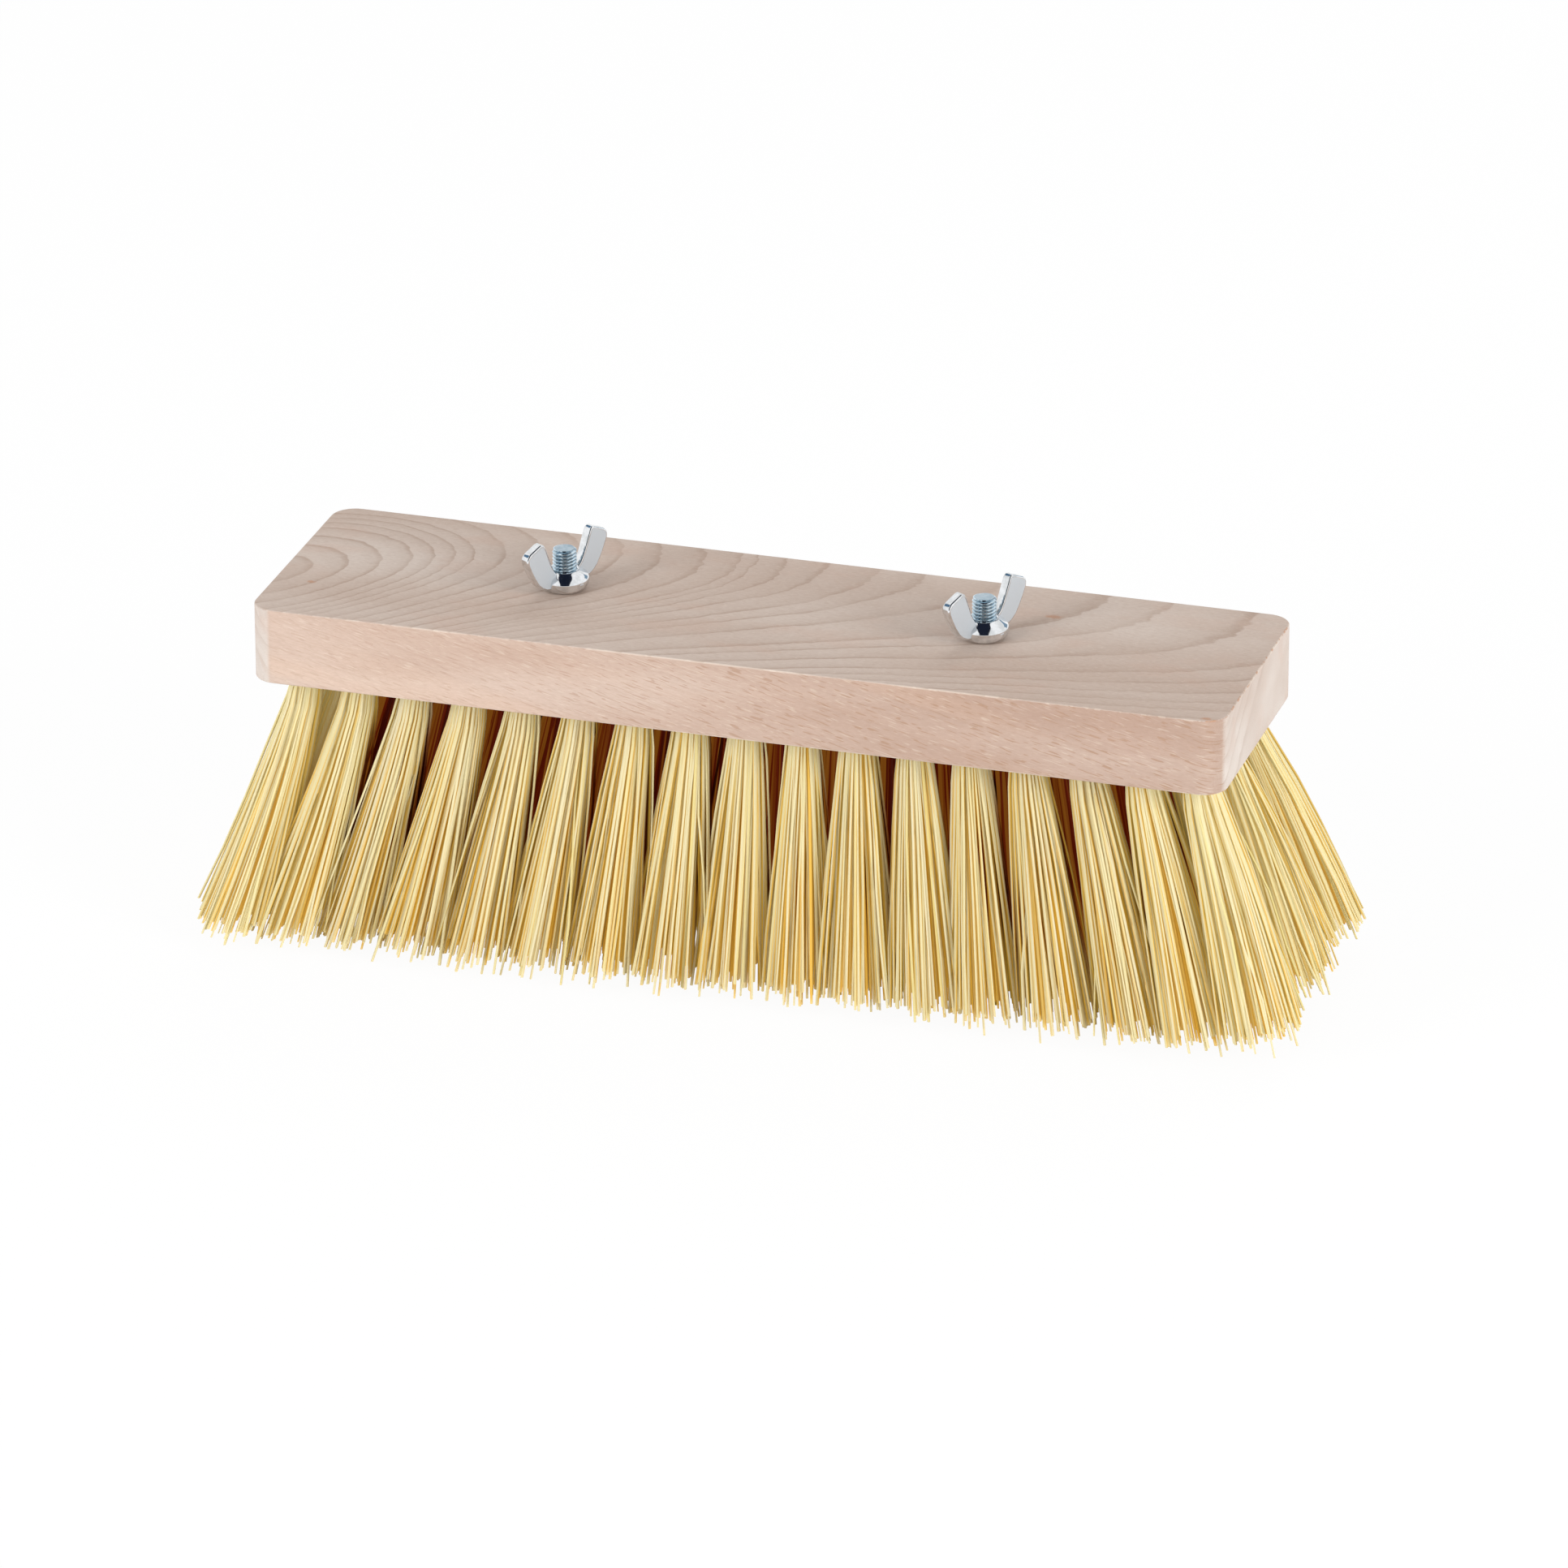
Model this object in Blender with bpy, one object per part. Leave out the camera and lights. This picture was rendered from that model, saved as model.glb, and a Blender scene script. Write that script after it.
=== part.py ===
"""Tar brush: a beech block with staggered fibre tufts, two carriage bolts and two wing nuts.

Run with Blender 4.5, in metres, +Z up. The brush stands on its trimmed bristle tips at z = 0,
its length along X, with the origin under the middle of the block.
"""
import math

import bmesh
import bpy

# Driving sizes of the wooden block
BLOCK_LENGTH = 0.280
BLOCK_WIDTH = 0.078
BLOCK_THICKNESS = 0.022
BLOCK_CORNER_RADIUS = 0.007
BLOCK_EDGE_BREAK = 0.0005
SEAT_RISE = 0.00002
SEAT_SLOPE = 0.001
CORNER_STEPS = 5

# Tuft pattern in the underside of the block
TUFTS_PER_ROW = 17
ROW_COUNT = 5
END_MARGIN = 0.0125
SIDE_MARGIN = 0.0175
TUFT_HOLE_WIDTH = 0.008
HOLE_ROOF = 0.008
HOLE_SIDES = 8
LEAST_WALL = 0.00045

# Bristles: length under the block, and how far the outer tufts lean out at their tips
BRISTLE_LENGTH = 0.072
FAN_END_REACH = 0.022
FAN_SIDE_REACH = 0.0165
TIP_GAP = 0.0012
STRANDS_IN_RING = 5
STRAND_SIDES = 3
RING_TURN_DEG = 47.0
STRAND_ROOT_RING_SHARE = 0.62
STRAND_ROOT_RADIUS_SHARE = 0.30
STRAND_TIP_RING_SHARE = 0.72
STRAND_TIP_RADIUS_SHARE = 0.28

# Slice of the block that joins the tufts of an inner row
SLICE_HEIGHT = 0.002

# Carriage bolts, metric M6
BOLT_SPACING = 0.1216
BOLTS_SHIFT = 0.0008
BOLT_DIAMETER = 0.006
BOLT_STANDOUT = 0.0118
BOLT_HEAD_DIAMETER = 0.012
BOLT_HEAD_HEIGHT = 0.0038
BOLT_NECK_STEP = 0.0001
BOLT_NECK_LENGTH = 0.004
BOLT_TIP_CHAMFER = 0.0006
HEAD_STEPS = 5

# Wing nuts, metric M6
NUT_SPAN = 0.0304
NUT_HEIGHT = 0.0157
HUB_HEIGHT = 0.0052
HUB_WALL = 0.0035
WING_THICKNESS = 0.0027
WING_EDGE_BREAK = 0.0004
WING_ANGLE_DEG = 62.0

# Clearances, and how round pieces are faceted
GAP = 0.0003
OVERRUN = 0.002
MERGE_DISTANCE = 0.000003
ROUND_SIDES = 24
SHARP_ANGLE_DEG = 35.0

# The hub's outline: share of the wall beyond the bore, share of the hub's height
HUB_OUTLINE_SHARES = (
    (0.00, 0.00), (0.42, 0.00), (0.78, 0.11), (0.97, 0.32),
    (1.00, 0.50), (0.87, 0.74), (0.57, 0.92), (0.20, 1.00), (0.00, 1.00),
)

# The wing's outline: share of the way from the bore to the span's end, then a share of the
# hub's height for the root, or of the height above the hub for the blade
WING_ROOT_LOW_SHARES = ((0.56, 0.50), (0.36, 0.20), (0.14, 0.14))
WING_ROOT_HIGH_SHARES = ((0.09, 0.88),)
WING_BLADE_SHARES = (
    (0.19, 0.20), (0.45, 0.92), (0.49, 0.99), (0.55, 0.99),
    (0.94, 0.72), (1.00, 0.63), (0.98, 0.50), (0.79, 0.10),
)

# Levels and places worked out from the sizes above
UNDERSIDE_Z = BRISTLE_LENGTH
TOP_Z = UNDERSIDE_Z + BLOCK_THICKNESS
HOLE_DEPTH = BLOCK_THICKNESS - HOLE_ROOF
PLUG_DEPTH = HOLE_DEPTH - GAP
HOLE_RADIUS = TUFT_HOLE_WIDTH / 2
PLUG_RADIUS = HOLE_RADIUS - GAP
ROW_END_X = BLOCK_LENGTH / 2 - END_MARGIN
ROW_END_Y = BLOCK_WIDTH / 2 - SIDE_MARGIN
TUFT_PITCH = 2 * ROW_END_X / (TUFTS_PER_ROW - 1)
BOLT_RADIUS = BOLT_DIAMETER / 2
BORE_RADIUS = BOLT_RADIUS + GAP
RECESS_RADIUS = BOLT_HEAD_DIAMETER / 2 + GAP
BESIDE_BOLTS_Y = RECESS_RADIUS + LEAST_WALL + HOLE_RADIUS
ROWS_A_SIDE = (ROW_COUNT - 1) // 2
OUTER_ROW_PITCH = (ROW_END_Y - BESIDE_BOLTS_Y) / (ROWS_A_SIDE - 1)
TIP_PITCH = TUFT_PITCH + 2 * FAN_END_REACH / (TUFTS_PER_ROW - 1)
TIP_ROW_PITCH = min(BESIDE_BOLTS_Y, OUTER_ROW_PITCH) * (ROW_END_Y + FAN_SIDE_REACH) / ROW_END_Y
TIP_NEAREST = min(TIP_PITCH, math.hypot(TIP_PITCH / 2, TIP_ROW_PITCH))
TIP_RADIUS = (TIP_NEAREST - TIP_GAP) / 2
BEARING_Z = UNDERSIDE_Z + BOLT_HEAD_HEIGHT
RECESS_ROOF_Z = BEARING_Z + GAP
BOLT_LENGTH = TOP_Z + BOLT_STANDOUT - BEARING_Z
NECK_WIDTH = BOLT_DIAMETER + 2 * BOLT_NECK_STEP
BOLT_PLACES = {"left": BOLTS_SHIFT - BOLT_SPACING / 2, "right": BOLTS_SHIFT + BOLT_SPACING / 2}
SEAT_HALF_LENGTH = (BOLT_SPACING - NUT_SPAN) / 2 - BOLTS_SHIFT - GAP


def clear_scene():
    """Removes every object of the open scene."""
    for thing in list(bpy.data.objects):
        bpy.data.objects.remove(thing, do_unlink=True)


def material(name, colour, roughness, metallic):
    """Makes a plain Principled material."""
    made = bpy.data.materials.new(name)
    made.use_nodes = True
    shader = made.node_tree.nodes["Principled BSDF"]
    shader.inputs["Base Color"].default_value = (*colour, 1.0)
    shader.inputs["Roughness"].default_value = roughness
    shader.inputs["Metallic"].default_value = metallic
    made.diffuse_color = (*colour, 1.0)
    return made


def add_object(name, mesh_edit, finish, place, parent):
    """Turns an edited mesh into a named object at its place under its parent."""
    bmesh.ops.recalc_face_normals(mesh_edit, faces=mesh_edit.faces)
    mesh = bpy.data.meshes.new(name)
    mesh_edit.to_mesh(mesh)
    mesh_edit.free()
    if finish is not None:
        mesh.materials.append(finish)
    made = bpy.data.objects.new(name, mesh)
    bpy.context.scene.collection.objects.link(made)
    made.parent = parent
    made.location = place
    return made


def add_empty(name, place, parent=None):
    """Adds an empty that carries other objects."""
    made = bpy.data.objects.new(name, None)
    bpy.context.scene.collection.objects.link(made)
    made.parent = parent
    made.location = place
    return made


def add_cutter(name, mesh_edit, place, parent):
    """Adds an object that only cuts or joins others."""
    made = add_object(name, mesh_edit, None, place, parent)
    made.hide_render = True
    made.display_type = "WIRE"
    return made


def boolean(target, tool, operation):
    """Cuts or joins one object with another."""
    step = target.modifiers.new(tool.name, "BOOLEAN")
    step.operation = operation
    step.solver = "EXACT"
    step.object = tool


def smooth(thing):
    """Shades a round piece smooth, with its real edges sharp."""
    thing.data.shade_smooth()
    thing.data.set_sharp_from_angle(angle=math.radians(SHARP_ANGLE_DEG))


def prism(mesh_edit, lower, upper):
    """Adds a closed prism between two rings with the same number of points."""
    low = [mesh_edit.verts.new(point) for point in lower]
    high = [mesh_edit.verts.new(point) for point in upper]
    mesh_edit.faces.new(low)
    mesh_edit.faces.new(high)
    count = len(low)
    for i in range(count):
        j = (i + 1) % count
        mesh_edit.faces.new((low[i], low[j], high[j], high[i]))


def turned(mesh_edit, outline, closed):
    """Spins an outline of (radius, height) points about Z."""
    points = [mesh_edit.verts.new((radius, 0, height)) for radius, height in outline]
    edges = [mesh_edit.edges.new(pair) for pair in zip(points, points[1:])]
    if closed:
        edges.append(mesh_edit.edges.new((points[-1], points[0])))
    bmesh.ops.spin(
        mesh_edit, geom=points + edges, cent=(0, 0, 0), axis=(0, 0, 1), dvec=(0, 0, 0),
        angle=math.tau, steps=ROUND_SIDES, use_merge=True)
    bmesh.ops.remove_doubles(mesh_edit, verts=mesh_edit.verts, dist=MERGE_DISTANCE)


# Tuft pattern

def row_y(row):
    """A row's place across the block: the bolts' own line, just clear of the heads, or beyond."""
    steps = row - ROWS_A_SIDE
    if steps == 0:
        return 0
    return math.copysign(BESIDE_BOLTS_Y + (abs(steps) - 1) * OUTER_ROW_PITCH, steps)


def row_places(row):
    """The (x, y) roots of one row's tufts; every second row is half a pitch over."""
    y = row_y(row)
    shifted = row % 2
    first_x = -ROW_END_X + shifted * TUFT_PITCH / 2
    return [(first_x + i * TUFT_PITCH, y) for i in range(TUFTS_PER_ROW - shifted)]


def clears_bolts(root):
    """Whether a tuft hole leaves a wall of wood beside both bolt heads."""
    nearest = min(math.hypot(root[0] - x, root[1]) for x in BOLT_PLACES.values())
    return nearest - HOLE_RADIUS - RECESS_RADIUS >= LEAST_WALL


def row_groups(row):
    """The row's tufts, in groups that no missing tuft breaks."""
    groups = [[]]
    for root in row_places(row):
        if clears_bolts(root):
            groups[-1].append(root)
        elif groups[-1]:
            groups.append([])
    return [group for group in groups if group]


def centre_at(root, height):
    """A tuft's centre at a height over the underside, which is negative among the bristles."""
    drop = -height / BRISTLE_LENGTH
    lean_x = FAN_END_REACH * root[0] / ROW_END_X
    lean_y = FAN_SIDE_REACH * root[1] / ROW_END_Y
    return root[0] + drop * lean_x, root[1] + drop * lean_y


def hole_ring(root, inner_radius, height):
    """A level ring round a tuft's centre, with flat sides across X and Y."""
    x, y = centre_at(root, height)
    half_step = math.pi / HOLE_SIDES
    corner = inner_radius / math.cos(half_step)
    angles = [half_step * (2 * i + 1) for i in range(HOLE_SIDES)]
    return [(x + corner * math.cos(a), y + corner * math.sin(a), height) for a in angles]


# Bristle strands

def strand_ring(root, centre, radius, height, turn):
    """One strand's cross-section, mirrored with the side of the brush that it is on."""
    side_x = -1 if root[0] < 0 else 1
    side_y = -1 if root[1] < 0 else 1
    x, y = centre_at(root, height)
    ring = []
    for i in range(STRAND_SIDES):
        angle = turn + math.tau * i / STRAND_SIDES
        ring.append((
            x + side_x * (centre[0] + radius * math.cos(angle)),
            y + side_y * (centre[1] + radius * math.sin(angle)),
            height))
    return ring


def add_strands(mesh_edit, root, turn):
    """Adds a tuft's strands and returns the edges round their roots."""
    centres = [(0, 0)]
    for i in range(STRANDS_IN_RING):
        angle = turn + math.tau * i / STRANDS_IN_RING
        centres.append((math.cos(angle), math.sin(angle)))
    root_edges = []
    for number, (ux, uy) in enumerate(centres):
        spin = turn * (number + 1)
        root_ring = STRAND_ROOT_RING_SHARE * PLUG_RADIUS
        tip_ring = STRAND_TIP_RING_SHARE * TIP_RADIUS
        low = strand_ring(
            root, (ux * root_ring, uy * root_ring), STRAND_ROOT_RADIUS_SHARE * PLUG_RADIUS, 0, spin)
        tip = strand_ring(
            root, (ux * tip_ring, uy * tip_ring), STRAND_TIP_RADIUS_SHARE * TIP_RADIUS,
            -BRISTLE_LENGTH, spin)
        low = [mesh_edit.verts.new(point) for point in low]
        tip = [mesh_edit.verts.new(point) for point in tip]
        mesh_edit.faces.new(tip)
        for i in range(STRAND_SIDES):
            j = (i + 1) % STRAND_SIDES
            side = mesh_edit.faces.new((low[i], low[j], tip[j], tip[i]))
            root_edges.append(next(e for e in side.edges if set(e.verts) == {low[i], low[j]}))
    return root_edges


def add_plug(mesh_edit, root, turn, open_left, open_right):
    """Adds one tuft: the packed root in its hole and the strands under it.

    The root's lower part is left open towards a joining slice on either side.
    Returns its rings at the underside and at the top of the slice.
    """
    levels = [0, SLICE_HEIGHT, PLUG_DEPTH] if open_left or open_right else [0, PLUG_DEPTH]
    rings = [
        [mesh_edit.verts.new(point) for point in hole_ring(root, PLUG_RADIUS, level)]
        for level in levels]
    right_side = HOLE_SIDES - 1
    left_side = HOLE_SIDES // 2 - 1
    for step, (low, high) in enumerate(zip(rings, rings[1:])):
        for i in range(HOLE_SIDES):
            joined = (i == right_side and open_right) or (i == left_side and open_left)
            if step == 0 and joined:
                continue
            j = (i + 1) % HOLE_SIDES
            mesh_edit.faces.new((low[i], low[j], high[j], high[i]))
    mesh_edit.faces.new(rings[-1])
    edges = add_strands(mesh_edit, root, turn)
    count = HOLE_SIDES
    for i in range(count):
        pair = (rings[0][i], rings[0][(i + 1) % count])
        edges.append(mesh_edit.edges.get(pair) or mesh_edit.edges.new(pair))
    bmesh.ops.triangle_fill(mesh_edit, use_beauty=True, edges=edges, normal=(0, 0, -1))
    return rings[0], rings[1]


def add_slice(mesh_edit, left_rings, right_rings):
    """Joins two neighbouring tuft roots with a slice of the wood between them."""
    near_low, near_high = left_rings
    far_low, far_high = right_rings
    near = (0, HOLE_SIDES - 1)
    far = (HOLE_SIDES // 2 - 1, HOLE_SIDES // 2)
    for ring_a, ring_b in ((near_low, far_low), (near_high, far_high)):
        mesh_edit.faces.new((ring_a[near[0]], ring_a[near[1]], ring_b[far[1]], ring_b[far[0]]))
    for a, b in zip(near, far):
        mesh_edit.faces.new((near_low[a], near_high[a], far_high[b], far_low[b]))


def tuft_turn(number):
    """How far a tuft's strands are turned about its centre, unlike its neighbour's."""
    return math.radians(RING_TURN_DEG * (number + 1))


def group_name(row, group):
    """An inner row's node name: a group outside the bolts also says its side."""
    middle = (group[0][0] + group[-1][0]) / 2
    if abs(middle) < BOLT_SPACING / 2:
        return f"tuft_row_{row + 1}"
    return f"tuft_row_{row + 1}_{'left' if middle < 0 else 'right'}"


def add_tufts(name, roots, finish, parent):
    """Models a tuft, or a group of tufts that share a slice of the block, as one body."""
    base_x = roots[0][0] if len(roots) == 1 else 0
    place = (base_x, roots[0][1], UNDERSIDE_Z)
    mesh_edit = bmesh.new()
    last = len(roots) - 1
    before = None
    for i, root in enumerate(roots):
        column = abs(round(root[0] / (TUFT_PITCH / 2)))
        rings = add_plug(mesh_edit, root, tuft_turn(column), i > 0, i < last)
        if before is not None:
            add_slice(mesh_edit, before, rings)
        before = rings
    for vert in mesh_edit.verts:
        vert.co.x -= place[0]
        vert.co.y -= place[1]
    return add_object(name, mesh_edit, finish, place, parent)


def build_tufts(finish, parent):
    """Front and back rows as single tufts, inner rows as joined groups."""
    strands = 0
    for row in range(ROW_COUNT):
        groups = row_groups(row)
        strands += sum(len(group) for group in groups) * (STRANDS_IN_RING + 1)
        if row in (0, ROW_COUNT - 1):
            side = "front" if row == 0 else "back"
            roots = [root for group in groups for root in group]
            for number, root in enumerate(roots, start=1):
                add_tufts(f"tuft_{side}_{number:02d}", [root], finish, parent)
        else:
            for group in groups:
                add_tufts(group_name(row, group), group, finish, parent)
    print("strands", strands)


# Wooden block

def block_outline():
    """The block's rounded outline seen from above."""
    outline = []
    inner_x = BLOCK_LENGTH / 2 - BLOCK_CORNER_RADIUS
    inner_y = BLOCK_WIDTH / 2 - BLOCK_CORNER_RADIUS
    quarter = math.pi / 2
    corners = ((inner_x, inner_y), (-inner_x, inner_y), (-inner_x, -inner_y), (inner_x, -inner_y))
    for number, (x, y) in enumerate(corners):
        for step in range(CORNER_STEPS + 1):
            angle = quarter * (number + step / CORNER_STEPS)
            outline.append((
                x + BLOCK_CORNER_RADIUS * math.cos(angle),
                y + BLOCK_CORNER_RADIUS * math.sin(angle)))
    return outline


def raise_seat(mesh_edit):
    """Lifts the seat between the nuts a hair over the rest of the top, as a face of its own."""
    level = BLOCK_THICKNESS - BLOCK_EDGE_BREAK / 2
    foot = SEAT_HALF_LENGTH + SEAT_SLOPE
    for x in (-foot, -SEAT_HALF_LENGTH, SEAT_HALF_LENGTH, foot):
        top = [face for face in mesh_edit.faces if min(v.co.z for v in face.verts) > level]
        edges = {edge for face in top for edge in face.edges}
        verts = {vert for face in top for vert in face.verts}
        bmesh.ops.bisect_plane(
            mesh_edit, geom=[*top, *edges, *verts], dist=MERGE_DISTANCE, plane_co=(x, 0, 0),
            plane_no=(1, 0, 0))
    for vert in mesh_edit.verts:
        if vert.co.z > level and abs(vert.co.x) < SEAT_HALF_LENGTH + MERGE_DISTANCE:
            vert.co.z += SEAT_RISE


def tuft_hole_cutter(parent):
    """The blind tuft holes, each leaning with its tuft."""
    mesh_edit = bmesh.new()
    for row in range(ROW_COUNT):
        for group in row_groups(row):
            for root in group:
                prism(
                    mesh_edit, hole_ring(root, HOLE_RADIUS, -OVERRUN),
                    hole_ring(root, HOLE_RADIUS, HOLE_DEPTH))
    return add_cutter("tuft_hole_cutter", mesh_edit, (0, 0, UNDERSIDE_Z), parent)


def slice_groove_cutter(parent):
    """The grooves for the slices that join the inner rows."""
    half = PLUG_RADIUS * math.tan(math.pi / HOLE_SIDES) + GAP
    mesh_edit = bmesh.new()
    for row in range(1, ROW_COUNT - 1):
        for group in row_groups(row):
            rings = []
            for height in (-OVERRUN, SLICE_HEIGHT + GAP):
                first_x, y = centre_at(group[0], height)
                last_x = centre_at(group[-1], height)[0]
                corners = (
                    (first_x, y - half), (last_x, y - half), (last_x, y + half), (first_x, y + half))
                rings.append([(cx, cy, height) for cx, cy in corners])
            if len(group) > 1:
                prism(mesh_edit, *rings)
    return add_cutter("slice_groove_cutter", mesh_edit, (0, 0, UNDERSIDE_Z), parent)


def bolt_hole_cutter(side, parent):
    """The head's recess and the shank's hole, as one turned tool."""
    outline = (
        (0, UNDERSIDE_Z - OVERRUN), (RECESS_RADIUS, UNDERSIDE_Z - OVERRUN),
        (RECESS_RADIUS, RECESS_ROOF_Z), (BORE_RADIUS, RECESS_ROOF_Z),
        (BORE_RADIUS, TOP_Z + OVERRUN), (0, TOP_Z + OVERRUN))
    mesh_edit = bmesh.new()
    turned(mesh_edit, outline, closed=False)
    return add_cutter(f"bolt_hole_cutter_{side}", mesh_edit, (BOLT_PLACES[side], 0, 0), parent)


def neck_pocket_cutter(side, parent):
    """The square seat that the neck bites into the wood."""
    half = NECK_WIDTH / 2 + GAP
    ring = ((-half, -half), (half, -half), (half, half), (-half, half))
    mesh_edit = bmesh.new()
    prism(
        mesh_edit, [(x, y, RECESS_ROOF_Z - OVERRUN) for x, y in ring],
        [(x, y, BEARING_Z + BOLT_NECK_LENGTH + GAP) for x, y in ring])
    return add_cutter(f"neck_pocket_cutter_{side}", mesh_edit, (BOLT_PLACES[side], 0, 0), parent)


def build_block(finish, parent):
    """The beech block with its blind tuft holes, grooves and bolt holes."""
    outline = block_outline()
    mesh_edit = bmesh.new()
    prism(
        mesh_edit, [(x, y, 0) for x, y in outline], [(x, y, BLOCK_THICKNESS) for x, y in outline])
    rims = [edge for edge in mesh_edit.edges if edge.verts[0].co.z == edge.verts[1].co.z]
    bmesh.ops.bevel(
        mesh_edit, geom=rims, offset=BLOCK_EDGE_BREAK, offset_type="OFFSET", segments=1,
        affect="EDGES")
    raise_seat(mesh_edit)
    block = add_object("brush_block", mesh_edit, finish, (0, 0, UNDERSIDE_Z), parent)
    boolean(block, tuft_hole_cutter(parent), "DIFFERENCE")
    boolean(block, slice_groove_cutter(parent), "DIFFERENCE")
    for side in BOLT_PLACES:
        boolean(block, bolt_hole_cutter(side, parent), "DIFFERENCE")
        boolean(block, neck_pocket_cutter(side, parent), "DIFFERENCE")
    smooth(block)
    return block


# Carriage bolt

def bolt_outline():
    """The turned outline: cup head under the bearing face, shank above it."""
    head_radius = BOLT_HEAD_DIAMETER / 2
    outline = []
    for step in range(HEAD_STEPS + 1):
        angle = math.pi / 2 * step / HEAD_STEPS
        outline.append((head_radius * math.sin(angle), -BOLT_HEAD_HEIGHT * math.cos(angle)))
    outline += [
        (BOLT_RADIUS, 0), (BOLT_RADIUS, BOLT_LENGTH - BOLT_TIP_CHAMFER),
        (BOLT_RADIUS - BOLT_TIP_CHAMFER, BOLT_LENGTH), (0, BOLT_LENGTH)]
    return outline


def build_bolt(side, finish, axis):
    """A carriage bolt on its axis, its bearing face in the recess."""
    mesh_edit = bmesh.new()
    turned(mesh_edit, bolt_outline(), closed=False)
    place = (0, 0, BEARING_Z)
    bolt = add_object(f"carriage_bolt_{side}", mesh_edit, finish, place, axis)
    half = NECK_WIDTH / 2
    ring = ((-half, -half), (half, -half), (half, half), (-half, half))
    neck_edit = bmesh.new()
    prism(
        neck_edit, [(x, y, -BOLT_HEAD_HEIGHT / 2) for x, y in ring],
        [(x, y, BOLT_NECK_LENGTH) for x, y in ring])
    neck = add_cutter(f"neck_shape_{side}", neck_edit, place, axis)
    boolean(bolt, neck, "UNION")
    smooth(bolt)
    return bolt


# Wing nut

def hub_outline():
    """The hub's closed outline, a shallow bowl round the threaded bore."""
    return [
        (BORE_RADIUS + wall * HUB_WALL, height * HUB_HEIGHT)
        for wall, height in HUB_OUTLINE_SHARES]


def wing_outline():
    """One wing's outline in its own plane, as (distance from the axis, height)."""
    reach = NUT_SPAN / 2 - BORE_RADIUS
    rise = NUT_HEIGHT - HUB_HEIGHT
    low = [(BORE_RADIUS + r * reach, z * HUB_HEIGHT) for r, z in WING_ROOT_LOW_SHARES]
    high = [(BORE_RADIUS + r * reach, z * HUB_HEIGHT) for r, z in WING_ROOT_HIGH_SHARES]
    blade = [(BORE_RADIUS + r * reach, HUB_HEIGHT + z * rise) for r, z in WING_BLADE_SHARES]
    return low + high + blade


def add_wing(mesh_edit, side_sign):
    """Adds one wing, a slab with broken edges that leans out from the hub."""
    half = WING_THICKNESS / 2
    wing_edit = bmesh.new()
    outline = [(side_sign * r, z) for r, z in wing_outline()]
    prism(wing_edit, [(x, -half, z) for x, z in outline], [(x, half, z) for x, z in outline])
    rims = [edge for edge in wing_edit.edges if edge.verts[0].co.y == edge.verts[1].co.y]
    bmesh.ops.bevel(
        wing_edit, geom=rims, offset=WING_EDGE_BREAK, offset_type="OFFSET", segments=1,
        affect="EDGES")
    copy = bpy.data.meshes.new("wing")
    wing_edit.to_mesh(copy)
    wing_edit.free()
    mesh_edit.from_mesh(copy)
    bpy.data.meshes.remove(copy)


def build_nut(side, finish, axis):
    """A wing nut on its axis, its base just over the block's top."""
    mesh_edit = bmesh.new()
    turned(mesh_edit, hub_outline(), closed=True)
    place = (0, 0, TOP_Z + GAP)
    nut = add_object(f"wing_nut_{side}", mesh_edit, finish, place, axis)
    nut.rotation_euler.z = math.radians(WING_ANGLE_DEG)
    wings_edit = bmesh.new()
    for sign in (-1, 1):
        add_wing(wings_edit, sign)
    wings = add_cutter(f"wing_shape_{side}", wings_edit, place, axis)
    wings.rotation_euler.z = math.radians(WING_ANGLE_DEG)
    boolean(nut, wings, "UNION")
    smooth(nut)
    return nut


def main():
    """Builds the brush."""
    clear_scene()
    beech = material("beech", (0.60, 0.47, 0.37), 0.65, 0.0)
    fibre = material("fibre", (0.80, 0.68, 0.33), 0.60, 0.0)
    zinc = material("zinc", (0.70, 0.74, 0.78), 0.25, 1.0)
    brush = add_empty("brush", (0, 0, 0))
    build_block(beech, brush)
    build_tufts(fibre, brush)
    for side, x in BOLT_PLACES.items():
        axis = add_empty(f"bolt_axis_{side}", (x, 0, 0), brush)
        build_bolt(side, zinc, axis)
        build_nut(side, zinc, axis)


main()
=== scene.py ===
"""Looks of the tar brush: a bare beech block, tufts of pale plant fibre, two bolts and wing nuts.

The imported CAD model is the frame. Each piece here rides on one of its bodies and stands for one
of its nodes. Lengths are in metres unless a name says otherwise.
"""
import enum
import logging
import math
from contextlib import contextmanager
from dataclasses import dataclass
from typing import Any, Callable, Iterator, Sequence

import bmesh
import bpy
import numpy as np
from mathutils import Matrix, Vector


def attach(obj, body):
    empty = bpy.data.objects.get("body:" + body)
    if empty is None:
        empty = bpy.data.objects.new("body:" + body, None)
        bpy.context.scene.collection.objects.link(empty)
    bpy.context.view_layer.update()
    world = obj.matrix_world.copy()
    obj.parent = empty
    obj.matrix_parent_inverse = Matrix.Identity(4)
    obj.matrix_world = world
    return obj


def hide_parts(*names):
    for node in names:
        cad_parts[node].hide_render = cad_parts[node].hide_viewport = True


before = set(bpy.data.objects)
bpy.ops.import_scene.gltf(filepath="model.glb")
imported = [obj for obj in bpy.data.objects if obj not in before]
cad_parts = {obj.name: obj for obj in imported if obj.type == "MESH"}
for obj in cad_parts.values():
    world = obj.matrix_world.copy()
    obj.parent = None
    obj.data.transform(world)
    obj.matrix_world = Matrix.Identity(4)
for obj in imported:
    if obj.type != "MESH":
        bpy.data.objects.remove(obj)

log = logging.getLogger("tar_brush")
Piece = bpy.types.Object
Material = bpy.types.Material
Array = np.ndarray
Point = Colour = tuple[float, float, float]
Pair = tuple[float, float]
NO_TURN: Point = (0.0, 0.0, 0.0)
NO_SHIFT: Point = (0.0, 0.0, 0.0)
WHITE = (1.0, 1.0, 1.0, 1.0)
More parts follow.
